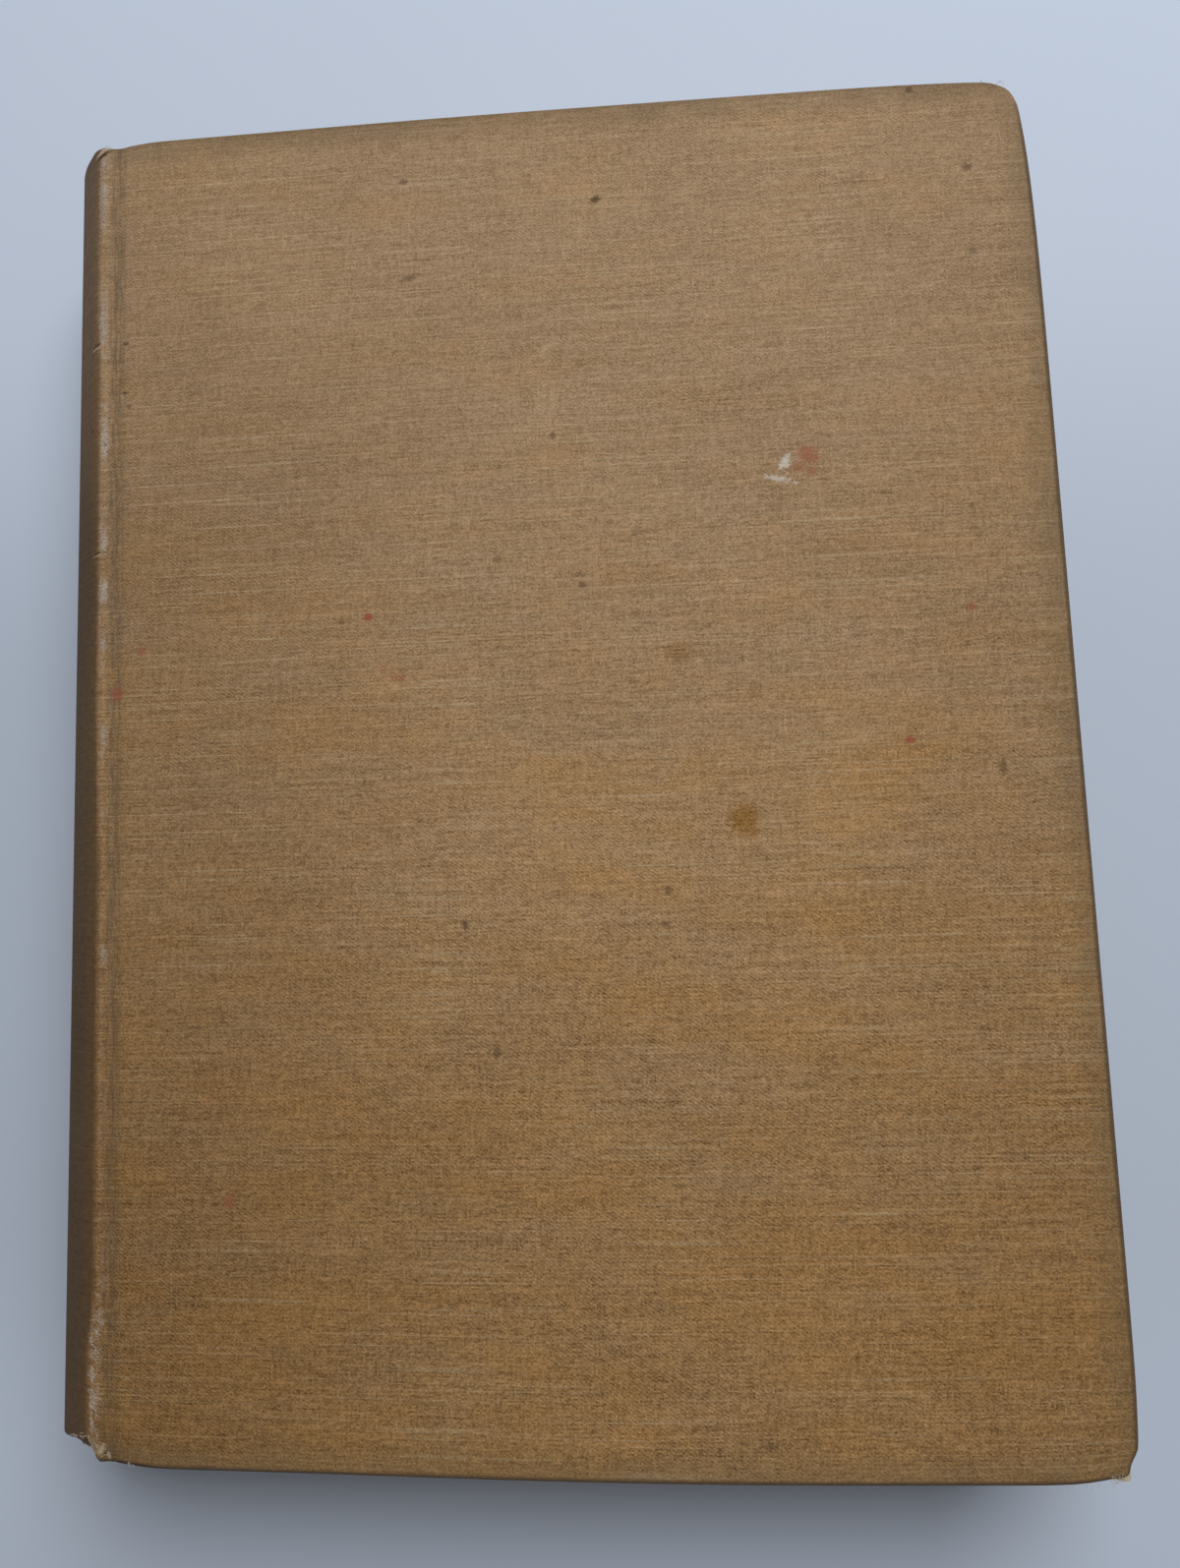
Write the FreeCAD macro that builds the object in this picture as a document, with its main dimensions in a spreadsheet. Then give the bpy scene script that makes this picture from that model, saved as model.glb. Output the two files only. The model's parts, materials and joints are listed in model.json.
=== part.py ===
import FreeCAD, Part
import math
import os
import re

import Sketcher

# Cloth-bound hardback book, lying flat with its front cover up.
# X runs from the spine to the fore-edge, Y from the tail to the head, and Z up.
# The origin is under the middle of the book, on the surface that it lies on.

V = FreeCAD.Vector

# Driving sizes in millimetres, and angles in degrees.
SIZES = {
    # Whole book
    "case_width": 195.0,
    "case_height": 255.0,
    "book_thickness": 36.0,
    "square": 3.0,
    "cover_clearance": 0.3,
    # Covers
    "board_thickness": 2.4,
    "cloth_thickness": 0.45,
    "turn_in": 15.0,
    "edge_round": 0.7,
    "head_corner_radius": 4.5,
    "tail_corner_radius": 2.5,
    "endpaper_thickness": 0.2,
    # Joint between each cover and the spine
    "hinge_inset": 14.2,
    "joint_gap": 0.3,
    "joint_depth": 1.2,
    "board_setback": 1.6,
    # Rounded spine of the case
    "ridge_setback": 1.8,
    "ridge_drop": 0.2,
    "ridge_radius": 1.2,
    "ridge_slope": 40.0,
    "inlay_thickness": 0.6,
    "inlay_angle": 50.0,
    "hollow_gap": 0.2,
    # Back of the text block
    "lining_thickness": 0.3,
    "mull_thickness": 0.2,
    "mull_inset": 14.5,
    "mull_flange": 30.0,
    "backing_start": 1.0,
    "shoulder_drop": 1.6,
    "lining_shoulder": 2.0,
    # Sewing tapes
    "tape_thickness": 0.25,
    "tape_width": 16.0,
    "tape_pitch": 80.0,
    "tape_end": 22.0,
    # Head and tail bands
    "band_depth": 1.6,
    "band_height": 1.7,
    "band_angle": 47.0,
    "band_strip": 12.0,
}

# Sizes worked out from the driving ones.
WORKED_OUT = {
    "fore_edge_x": "case_width / 2",
    "mid_level": "book_thickness / 2",
    "hinge_x": "hinge_inset - case_width / 2",
    "ridge_half": "mid_level - ridge_drop - ridge_radius",
    "ridge_reach": "hinge_inset - ridge_setback - ridge_radius",
    "ridge_circle": "(ridge_half ^ 2 + ridge_reach ^ 2) / (2 * ridge_reach)",
    "ridge_sin": "ridge_half / ridge_circle",
    "ridge_cos": "1 - ridge_reach / ridge_circle",
    "ridge_x": "hinge_x - ridge_setback",
    "spine_radius": "ridge_circle + ridge_radius",
    "spine_x": "spine_radius - case_width / 2",
    "board_back_x": "hinge_x + board_setback",
    "leaf_fore_x": "fore_edge_x - square",
    "leaf_height": "case_height - 2 * square",
    "board_height": "case_height - 2 * cloth_thickness",
    "board_depth": "cloth_thickness + board_thickness",
    "turn_in_depth": "board_depth + cloth_thickness",
    "cover_depth": "turn_in_depth + endpaper_thickness",
    "leaf_depth": "cover_depth + cover_clearance",
    "block_depth": "leaf_depth + endpaper_thickness",
    "inlay_radius": "spine_radius - cloth_thickness",
    "fold_radius": "inlay_radius - inlay_thickness",
    "hollow_radius": "fold_radius - cloth_thickness",
    "mull_rise": "mull_thickness + tape_thickness",
    "back_layers": "mull_rise + lining_thickness",
    "block_radius": "hollow_radius - hollow_gap - back_layers",
    "band_crown": "band_depth * 0.55",
    "mull_height": "leaf_height - 2 * mull_inset",
    "window_height": "case_height - 2 * turn_in",
    "backing_sin": "(mid_level - block_depth - backing_start) / block_radius",
    "backing_cos": "sqrt(1 - backing_sin ^ 2)",
    "shoulder_length": "(block_depth + backing_start - shoulder_drop) / backing_cos",
    "joint_drop": "cloth_thickness / cos(ridge_slope)",
}

COVERS = ("front", "back")
TAPE_PLACES = (("head", "tape_pitch"), ("middle", "0"), ("tail", "-tape_pitch"))

doc = FreeCAD.newDocument("HardbackBook")
sheet = doc.addObject("Spreadsheet::Sheet", "Sizes")
for row, (alias, number) in enumerate(SIZES.items(), start=1):
    sheet.set(f"A{row}", alias)
    sheet.set(f"B{row}", str(number))
    sheet.setAlias(f"B{row}", alias)
doc.recompute()


def formula(text):
    """The expression for text, with each size's name turned into its cell."""

    def swap(match):
        word = match.group()
        if word in WORKED_OUT:
            return "(" + formula(WORKED_OUT[word]) + ")"
        return "Sizes." + word if word in SIZES else word

    return re.sub(r"[a-z_]+", swap, text)


def value(text):
    return float(sheet.evalExpression(formula(text)))


def level(cover, depth):
    """Height of a depth below that cover's outer face."""
    return f"book_thickness - ({depth})" if cover == "front" else f"({depth})"


def add_body(name):
    body = doc.addObject("PartDesign::Body", name)
    body.Label = name
    return body


def add_sketch(body, plane, name, offset="0"):
    """A sketch on the body's own plane, moved along +Z from XY or along +Y from XZ."""
    sketch = body.newObject("Sketcher::SketchObject", name)
    origin_plane = next(f for f in body.Origin.OriginFeatures if f.Role == plane)
    sketch.AttachmentSupport = [(origin_plane, "")]
    sketch.MapMode = "FlatFace"
    sign = "-1 * " if plane == "XZ_Plane" else ""
    sketch.setExpression("AttachmentOffset.Base.z", sign + "(" + formula(offset) + ")")
    return sketch


def arc_between(start, end, radius, bulge):
    """The arc from start to end, bulging left (+1) or right (-1), and whether it runs anticlockwise."""
    chord = end - start
    left = V(-chord.y, chord.x, 0).normalize()
    rise = math.sqrt(radius**2 - (chord.Length / 2) ** 2)
    centre = (start + end) / 2 - left * rise * bulge
    anticlockwise = bulge < 0
    first, last = (start, end) if anticlockwise else (end, start)
    from_angle = math.atan2(first.y - centre.y, first.x - centre.x)
    to_angle = math.atan2(last.y - centre.y, last.x - centre.x)
    if to_angle < from_angle:
        to_angle += 2 * math.pi
    circle = Part.Circle(centre, V(0, 0, 1), radius)
    return Part.ArcOfCircle(circle, from_angle, to_angle), anticlockwise


def add_outline(sketch, corners):
    """A closed outline: (u, v) starts a straight side and (u, v, radius, bulge) an arc."""
    points = [V(value(corner[0]), value(corner[1]), 0) for corner in corners]
    starts, ends = [], []
    for index, corner in enumerate(corners):
        start, end = points[index], points[(index + 1) % len(corners)]
        if len(corner) == 2:
            sketch.addGeometry(Part.LineSegment(start, end))
            forward = True
        else:
            arc, forward = arc_between(start, end, value(corner[2]), corner[3])
            sketch.addGeometry(arc)
        starts.append(1 if forward else 2)
        ends.append(2 if forward else 1)
    for index, corner in enumerate(corners):
        following = (index + 1) % len(corners)
        sketch.addConstraint(
            Sketcher.Constraint("Coincident", index, ends[index], following, starts[following])
        )
        for kind, text in (("DistanceX", corner[0]), ("DistanceY", corner[1])):
            number = sketch.addConstraint(
                Sketcher.Constraint(kind, -1, 1, index, starts[index], value(text))
            )
            sketch.setExpression(f"Constraints[{number}]", formula(text))
        if len(corner) == 4:
            number = sketch.addConstraint(
                Sketcher.Constraint("Radius", index, value(corner[2]))
            )
            sketch.setExpression(f"Constraints[{number}]", formula(corner[2]))


def add_feature(body, kind, sketch, length, both_ways=False, flipped=False):
    """A Pad or Pocket of the sketch, checked to have changed the solid."""
    before = body.Shape.Volume if body.Tip else 0.0
    feature = body.newObject("PartDesign::" + kind, sketch.Name + kind)
    feature.Profile = sketch
    feature.SideType = "Symmetric" if both_ways else "One side"
    feature.Reversed = flipped
    feature.setExpression("Length", formula(length))
    doc.recompute()
    change = body.Shape.Volume - before
    if (change <= 0) if kind == "Pad" else (change >= 0):
        raise RuntimeError(f"{feature.Name} changed nothing")
    return feature


def add_slab(body, cover, name, corners, near, far, kind="Pad"):
    """A layer of one cover, between two depths below its outer face."""
    lower = far if cover == "front" else near
    sketch = add_sketch(body, "XY_Plane", name, level(cover, lower))
    add_outline(sketch, corners)
    return add_feature(body, kind, sketch, f"({far}) - ({near})", flipped=kind == "Pocket")


def add_bar(body, name, corners, length, middle="0", kind="Pad"):
    """A section in XZ carried along Y, evenly to both sides of its middle."""
    sketch = add_sketch(body, "XZ_Plane", name, middle)
    add_outline(sketch, corners)
    return add_feature(body, kind, sketch, length, both_ways=True)


def rectangle(back, fore, tail, head):
    return [(back, tail), (fore, tail), (fore, head), (back, head)]


def cover_outline(back, inset):
    """A cover's plan: square at the joint, with its two worn corners rounded at the fore-edge."""
    fore = f"fore_edge_x - ({inset})"
    head = f"case_height / 2 - ({inset})"
    head_round = f"head_corner_radius - ({inset})"
    tail_round = f"tail_corner_radius - ({inset})"
    return [
        (back, f"-({head})"),
        (f"{fore} - ({tail_round})", f"-({head})", tail_round, -1),
        (fore, f"-({head}) + {tail_round}"),
        (fore, f"{head} - ({head_round})", head_round, -1),
        (f"{fore} - ({head_round})", head),
        (back, head),
    ]


def back_layer(inner, outer, flank):
    """Section of a layer on the text block's back, between two offsets, with straight flanks."""

    def corner(offset, along, side):
        x = (
            f"spine_x - (block_radius + {offset}) * backing_cos"
            f" + ({along}) * backing_sin"
        )
        z = (
            f"mid_level + {side} * ((block_radius + {offset}) * backing_sin"
            f" + ({along}) * backing_cos)"
        )
        return x, z

    return [
        corner(outer, flank, 1),
        corner(outer, "0", 1) + (f"block_radius + {outer}", -1),
        corner(outer, "0", -1),
        corner(outer, flank, -1),
        corner(inner, flank, -1),
        corner(inner, "0", -1) + (f"block_radius + {inner}", 1),
        corner(inner, "0", 1),
        corner(inner, flank, 1),
    ]


def spine_arc(radius, side, cosine, sine):
    """A point of a circle about the spine's centre, above or below its back."""
    return f"spine_x - ({radius}) * {cosine}", f"mid_level + {side} * ({radius}) * {sine}"


def inlay_sector(inner, outer):
    """Section of a curved layer concentric with the spine and as wide as the inlay."""
    turn = ("cos(inlay_angle)", "sin(inlay_angle)")
    return [
        spine_arc(outer, 1, *turn) + (outer, -1),
        spine_arc(outer, -1, *turn),
        spine_arc(inner, -1, *turn) + (inner, 1),
        spine_arc(inner, 1, *turn),
    ]


def make_text_block():
    """All the leaves: rounded and backed at the spine, hollowed to match at the fore-edge."""
    body = add_body("text_block")
    shoulders = back_layer("0", "0", "shoulder_length")
    upper_tip, upper_turn, lower_turn, lower_tip = shoulders[:4]
    profile = [
        ("leaf_fore_x", level("back", "block_depth"), "block_radius", 1),
        ("leaf_fore_x", level("front", "block_depth")),
        ("hinge_x", level("front", "block_depth")),
        upper_tip,
        upper_turn,
        lower_turn,
        lower_tip,
        ("hinge_x", level("back", "block_depth")),
    ]
    add_bar(body, "LeafSection", profile, "leaf_height")
    return body


def make_flyleaf(cover):
    """The free leaf of an endpaper, flat on the block and turned up its shoulder."""
    body = add_body(f"{cover}_flyleaf")
    side = 1 if cover == "front" else -1
    tip = back_layer("0", "0", "shoulder_length")[0 if cover == "front" else 3]
    profile = [
        tip,
        (tip[0] + " + endpaper_thickness", tip[1]),
        ("hinge_x + endpaper_thickness", level(cover, "leaf_depth")),
        ("leaf_fore_x", level(cover, "leaf_depth")),
        ("leaf_fore_x", level(cover, "block_depth")),
        ("hinge_x", level(cover, "block_depth")),
    ]
    add_bar(body, f"{cover.title()}LeafSection", profile[::side], "leaf_height")
    return body


def make_tape(place, middle):
    """A linen sewing tape across the folds of the sections."""
    body = add_body(f"tape_{place}")
    section = back_layer("0", "tape_thickness", "shoulder_length")
    add_bar(body, f"Tape{place.title()}Section", section, "tape_width", middle)
    return body


def make_mull():
    """Open-weave cloth glued to the back, raised where it passes over the tapes."""
    body = add_body("spine_mull")
    add_bar(body, "MullSection", back_layer("0", "mull_thickness", "shoulder_length"), "mull_height")
    over = back_layer("0", "mull_rise", "shoulder_length")
    under = back_layer("0", "tape_thickness", "shoulder_length")
    for place, middle in TAPE_PLACES:
        raised_width = "tape_width + 2 * mull_thickness"
        add_bar(body, f"Mull{place.title()}Rise", over, raised_width, middle)
        add_bar(body, f"Mull{place.title()}Seat", under, "tape_width", middle, "Pocket")
    return body


def make_lining():
    """Paper lining on the mull, filled level between the tapes."""
    body = add_body("spine_lining")
    full = back_layer("mull_thickness", "back_layers", "lining_shoulder")
    add_bar(body, "LiningSection", full, "leaf_height")
    seat = back_layer("mull_thickness", "mull_rise", "lining_shoulder")
    for place, middle in TAPE_PLACES:
        raised_width = "tape_width + 2 * mull_thickness"
        add_bar(body, f"Lining{place.title()}Seat", seat, raised_width, middle, "Pocket")
    return body


def make_band(end):
    """A worked band: a rounded bead on the leaves' edge and a strip glued down the back."""
    side = 1 if end == "head" else -1
    body = add_body(f"{end}band")
    sketch = add_sketch(body, "XY_Plane", f"{end.title()}bandSection", "mid_level")
    sketch.setExpression("AttachmentOffset.Base.x", formula("spine_x"))
    edge = f"{side} * leaf_height / 2"
    spring = f"{side} * (leaf_height / 2 + band_height - band_depth / 2)"
    strip_end = f"{side} * (leaf_height / 2 - band_strip)"
    corners = [
        ("-block_radius", edge),
        ("-block_radius + band_depth", edge),
        ("-block_radius + band_depth", spring, "band_depth / 2", side * -1),
        ("-block_radius", spring),
        ("-block_radius - mull_thickness", spring),
        ("-block_radius - mull_thickness", strip_end),
        ("-block_radius", strip_end),
    ]
    add_outline(sketch, corners)
    turn = body.newObject("PartDesign::Revolution", f"{end.title()}bandTurn")
    turn.Profile = sketch
    turn.ReferenceAxis = (sketch, ["V_Axis"])
    turn.Midplane = True
    turn.setExpression("Angle", formula("2 * band_angle"))
    doc.recompute()
    return body


def make_inlay():
    """Stiff paper that lines the cloth across the spine."""
    body = add_body("spine_inlay")
    section = inlay_sector("fold_radius", "inlay_radius")
    add_bar(body, "InlaySection", section, "board_height")
    return body


def spine_cloth_half(side):
    """One half of the cloth's section: joint edge, ridge and start of the spine, outside then inside."""

    def crest_end(radius):
        """Where the ridge's rounding ends, on the joint's side."""
        x = f"ridge_x + ({radius}) * sin(ridge_slope)"
        return x, f"mid_level + {side} * (ridge_half + ({radius}) * cos(ridge_slope))"

    lip_x = "hinge_x - joint_gap / 2"
    lip_level = f"mid_level + {side} * (mid_level - joint_depth"
    outside = [
        (lip_x, lip_level + ")"),
        crest_end("ridge_radius"),
        spine_arc("spine_radius", side, "ridge_cos", "ridge_sin"),
    ]
    inside = [
        (lip_x, lip_level + " - joint_drop)"),
        crest_end("ridge_radius - cloth_thickness"),
        spine_arc("inlay_radius", side, "ridge_cos", "ridge_sin"),
    ]
    return outside, inside


def make_spine_cloth():
    """Cloth across the spine and over both ridges, folded in at head and tail over the inlay."""
    body = add_body("spine_cloth")
    upper_out, upper_in = spine_cloth_half(1)
    lower_out, lower_in = spine_cloth_half(-1)
    inner_ridge = "ridge_radius - cloth_thickness"
    profile = [
        upper_out[0],
        upper_out[1] + ("ridge_radius", -1),
        upper_out[2] + ("spine_radius", -1),
        lower_out[2] + ("ridge_radius", -1),
        lower_out[1],
        lower_out[0],
        lower_in[0],
        lower_in[1] + (inner_ridge, 1),
        lower_in[2] + ("inlay_radius", 1),
        upper_in[2] + (inner_ridge, 1),
        upper_in[1],
        upper_in[0],
    ]
    add_bar(body, "SpineClothSection", profile, "case_height")
    fold = inlay_sector("hollow_radius", "inlay_radius")
    tuck = inlay_sector("hollow_radius", "fold_radius")
    for end, side in (("Head", 1), ("Tail", -1)):
        fold_middle = f"{side} * (case_height - cloth_thickness) / 2"
        tuck_middle = f"{side} * (case_height - turn_in) / 2"
        add_bar(body, f"{end}Fold", fold, "cloth_thickness", fold_middle)
        add_bar(body, f"{end}Tuck", tuck, "turn_in", tuck_middle)
    return body


def make_board(cover):
    body = add_body(f"{cover}_board")
    outline = cover_outline("board_back_x", "cloth_thickness")
    add_slab(body, cover, f"{cover.title()}BoardPlan", outline, "cloth_thickness", "board_depth")
    return body


def make_cover_cloth(cover):
    """Cloth over one board, turned in round three edges, with a lip that dips into the joint."""
    title = cover.title()
    body = add_body(f"{cover}_cloth")
    outline = cover_outline("board_back_x", "0")
    wrap = add_slab(body, cover, f"{title}ClothPlan", outline, "0", "turn_in_depth")
    face_level = value(level(cover, "0"))
    back_x = value("board_back_x")
    rim = []
    for number, edge in enumerate(wrap.Shape.Edges, start=1):
        box = edge.BoundBox
        on_face = abs(box.ZMin - face_level) < 1e-6 and abs(box.ZMax - face_level) < 1e-6
        if on_face and box.XMax > back_x + 1e-6:
            rim.append(f"Edge{number}")
    fillet = body.newObject("PartDesign::Fillet", f"{title}ClothRim")
    fillet.Base = (wrap, rim)
    fillet.setExpression("Radius", formula("edge_round"))
    doc.recompute()
    inside = cover_outline("board_back_x", "cloth_thickness")
    add_slab(body, cover, f"{title}BoardSeat", inside, "cloth_thickness", "board_depth", "Pocket")
    window = rectangle(
        "board_back_x", "fore_edge_x - turn_in", "-window_height / 2", "window_height / 2"
    )
    add_slab(body, cover, f"{title}Window", window, "board_depth", "turn_in_depth", "Pocket")
    lip_x = "hinge_x + joint_gap / 2"
    lip = [
        (lip_x, level(cover, "joint_depth")),
        (lip_x, level(cover, "joint_depth + joint_drop")),
        ("board_back_x", level(cover, "cloth_thickness")),
        ("board_back_x", level(cover, "0")),
    ]
    add_bar(body, f"{title}Lip", lip, "case_height")
    return body


def make_mull_flange(cover):
    """The mull's flange, glued to the inside of the board."""
    body = add_body(f"{cover}_mull_flange")
    outline = rectangle(
        "board_back_x", "board_back_x + mull_flange", "-mull_height / 2", "mull_height / 2"
    )
    far = "board_depth + mull_thickness"
    add_slab(body, cover, f"{cover.title()}FlangePlan", outline, "board_depth", far)
    return body


def tape_end_outline(middle):
    return rectangle(
        "board_back_x",
        "board_back_x + tape_end",
        f"{middle} - tape_width / 2",
        f"{middle} + tape_width / 2",
    )


def make_tape_end(cover, place, middle):
    """A tape's end, glued down on the mull's flange."""
    body = add_body(f"{cover}_tape_end_{place}")
    near = "board_depth + mull_thickness"
    plan = f"{cover.title()}TapeEnd{place.title()}"
    add_slab(body, cover, plan, tape_end_outline(middle), near, "board_depth + mull_rise")
    return body


def make_pastedown(cover):
    """The pasted leaf of an endpaper: over the turn-ins, the mull's flange and the tape ends."""
    title = cover.title()
    body = add_body(f"{cover}_pastedown")
    leaf = rectangle("board_back_x", "leaf_fore_x", "-leaf_height / 2", "leaf_height / 2")
    add_slab(body, cover, f"{title}PasteLeaf", leaf, "turn_in_depth", "cover_depth")
    window = rectangle(
        "board_back_x", "fore_edge_x - turn_in", "-window_height / 2", "window_height / 2"
    )
    add_slab(body, cover, f"{title}PasteFill", window, "board_depth", "turn_in_depth")
    flange = rectangle(
        "board_back_x", "board_back_x + mull_flange", "-mull_height / 2", "mull_height / 2"
    )
    flange_depth = "board_depth + mull_thickness"
    add_slab(body, cover, f"{title}FlangeSeat", flange, "board_depth", flange_depth, "Pocket")
    for place, middle in TAPE_PLACES:
        seat = f"{title}TapeSeat{place.title()}"
        outline = tape_end_outline(middle)
        add_slab(body, cover, seat, outline, flange_depth, "board_depth + mull_rise", "Pocket")
    return body


def build_book():
    """Every piece of the book, from the leaves outwards."""
    pieces = [make_text_block(), make_flyleaf("front"), make_flyleaf("back")]
    pieces += [make_tape(place, middle) for place, middle in TAPE_PLACES]
    pieces += [make_mull(), make_lining(), make_band("head"), make_band("tail")]
    pieces += [make_inlay(), make_spine_cloth()]
    for cover in COVERS:
        pieces += [make_board(cover), make_cover_cloth(cover), make_mull_flange(cover)]
        pieces += [make_tape_end(cover, place, middle) for place, middle in TAPE_PLACES]
        pieces.append(make_pastedown(cover))
    return pieces


def check_document():
    for item in doc.Objects:
        if "Invalid" in item.State or "Error" in item.State:
            raise RuntimeError(f"{item.Label} failed: {item.State}")


def write_pieces(pieces):
    os.makedirs("parts", exist_ok=True)
    for piece in pieces:
        shape = piece.Shape
        if shape.isNull() or not shape.isValid() or len(shape.Solids) != 1:
            raise RuntimeError(f"{piece.Label} isn't one valid solid")
    for piece in pieces:
        piece.Shape.exportStep(f"parts/{piece.Label}.step")


book = build_book()
doc.recompute()
check_document()
write_pieces(book)
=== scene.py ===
import json
import math

import bpy
import numpy as np
from mathutils import Matrix, Vector, noise


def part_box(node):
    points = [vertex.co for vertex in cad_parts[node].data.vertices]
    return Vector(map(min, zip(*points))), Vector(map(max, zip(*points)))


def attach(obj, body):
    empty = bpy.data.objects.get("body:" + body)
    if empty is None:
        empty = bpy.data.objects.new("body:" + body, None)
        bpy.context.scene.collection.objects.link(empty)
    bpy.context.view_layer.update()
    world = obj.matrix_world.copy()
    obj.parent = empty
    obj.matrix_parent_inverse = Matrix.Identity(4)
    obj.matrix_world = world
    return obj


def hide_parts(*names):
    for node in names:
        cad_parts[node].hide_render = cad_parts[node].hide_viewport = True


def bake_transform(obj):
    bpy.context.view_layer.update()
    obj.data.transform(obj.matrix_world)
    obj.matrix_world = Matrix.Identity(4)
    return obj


# An old cloth-bound hardback, lying flat with its front cover up. Metres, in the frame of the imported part:
# X runs from the spine to the fore-edge, Y from the tail to the head, and Z up.

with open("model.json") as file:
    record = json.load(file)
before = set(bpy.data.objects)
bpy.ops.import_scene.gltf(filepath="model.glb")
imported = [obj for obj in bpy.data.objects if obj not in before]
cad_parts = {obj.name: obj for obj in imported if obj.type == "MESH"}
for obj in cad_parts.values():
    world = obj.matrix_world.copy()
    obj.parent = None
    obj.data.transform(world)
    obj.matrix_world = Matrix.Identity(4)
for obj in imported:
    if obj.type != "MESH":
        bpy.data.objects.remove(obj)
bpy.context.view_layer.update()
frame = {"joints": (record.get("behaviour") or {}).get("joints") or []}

MM = 0.001

# Sizes read from the frame
COVER_LOW, COVER_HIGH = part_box("front_cloth")
BOARD_LOW, BOARD_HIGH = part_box("front_board")
PASTE_LOW, PASTE_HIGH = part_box("front_pastedown")
MULL_LOW, MULL_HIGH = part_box("front_mull_flange")
BLOCK_LOW, BLOCK_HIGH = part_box("text_block")
SPINE_LOW, SPINE_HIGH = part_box("spine_cloth")
INLAY_LOW, INLAY_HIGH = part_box("spine_inlay")
TAPES = [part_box(f"tape_{place}") for place in ("head", "middle", "tail")]
FLYLEAF_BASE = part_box("front_flyleaf")[0].z
TAPE_END_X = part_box("front_tape_end_middle")[1].x
HINGE_X = next(joint["pos_m"][0] for joint in frame["joints"] if joint["name"] == "front_joint")

THICKNESS = COVER_HIGH.z
MID = THICKNESS / 2
FORE_X = COVER_HIGH.x
HALF_HEIGHT = COVER_HIGH.y
BOARD_BACK_X = BOARD_LOW.x
TURN_IN_DEPTH = THICKNESS - COVER_LOW.z
CLOTH = THICKNESS - BOARD_HIGH.z

# The spine's rounding, through its back and its two ridges
RIDGE_X = HINGE_X - 1.8 * MM
RIDGE_RADIUS = 1.2 * MM
RIDGE_HALF = SPINE_HIGH.z - MID - RIDGE_RADIUS
RIDGE_REACH = RIDGE_X - SPINE_LOW.x - RIDGE_RADIUS
RIDGE_CIRCLE = (RIDGE_HALF**2 + RIDGE_REACH**2) / (2 * RIDGE_REACH)
SPINE_RADIUS = RIDGE_CIRCLE + RIDGE_RADIUS
SPINE_X = SPINE_LOW.x + SPINE_RADIUS
RIDGE_ANGLE = math.asin(RIDGE_HALF / RIDGE_CIRCLE)


def add_object(name, data):
    obj = bpy.data.objects.new(name, data)
    bpy.context.collection.objects.link(obj)
    return obj


# Camera

def add_camera():
    """The photograph's own view: a phone held over the cover's tail half, tilted about seven degrees."""
    data = bpy.data.cameras.new("camera")
    data.sensor_fit = "AUTO"
    data.sensor_width = 36.0
    data.lens = 25.96
    data.clip_start = 0.01
    camera = add_object("camera", data)
    turn = Vector((-0.1005, -0.0847, 0.0393))
    rotation = Matrix.Rotation(turn.length, 4, turn.normalized()).transposed()
    camera.matrix_world = Matrix.Translation((0.02656, -0.0276, 0.24336)) @ rotation
    bpy.context.scene.camera = camera
    bpy.context.scene.view_settings.view_transform = "Standard"


# Node helpers

class Field:
    """A value, colour or place that varies over a surface, with plain arithmetic on it."""

    def __init__(self, nodes, socket):
        self.nodes = nodes
        self.socket = socket

    def __add__(self, other):
        return self.nodes.math("ADD", self, other)

    def __sub__(self, other):
        return self.nodes.math("SUBTRACT", self, other)

    def __rsub__(self, other):
        return self.nodes.math("SUBTRACT", other, self)

    def __mul__(self, other):
        return self.nodes.math("MULTIPLY", self, other)

    def __truediv__(self, other):
        return self.nodes.math("DIVIDE", self, other)

    def __abs__(self):
        return self.nodes.math("ABSOLUTE", self)

    def clamped(self):
        """The same field, kept from 0 to 1."""
        self.socket.node.use_clamp = True
        return self

    def ramp(self, low, high, start=0.0, end=1.0):
        """A smooth step from start to end while the field goes from low to high."""
        values = {"Value": self, "From Min": low, "From Max": high, "To Min": start, "To Max": end}
        return self.nodes.field("ShaderNodeMapRange", 0, values, interpolation_type="SMOOTHSTEP")

    def wave(self, repeat):
        """A sine wave from -1 to 1 along the field."""
        return self.nodes.math("SINE", self * (math.tau / repeat))

    def noise(self, scale, detail=2.0, roughness=0.5):
        """Noise from 0 to 1 with scale features a metre, or with another number of them along each axis."""
        values = {"Vector": self, "Scale": scale}
        if isinstance(scale, tuple):
            values = {"Vector": self.nodes.field("ShaderNodeMapping", 0, values), "Scale": 1.0}
        values.update({"Detail": detail, "Roughness": roughness})
        return self.nodes.field("ShaderNodeTexNoise", "Fac", values)


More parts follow.
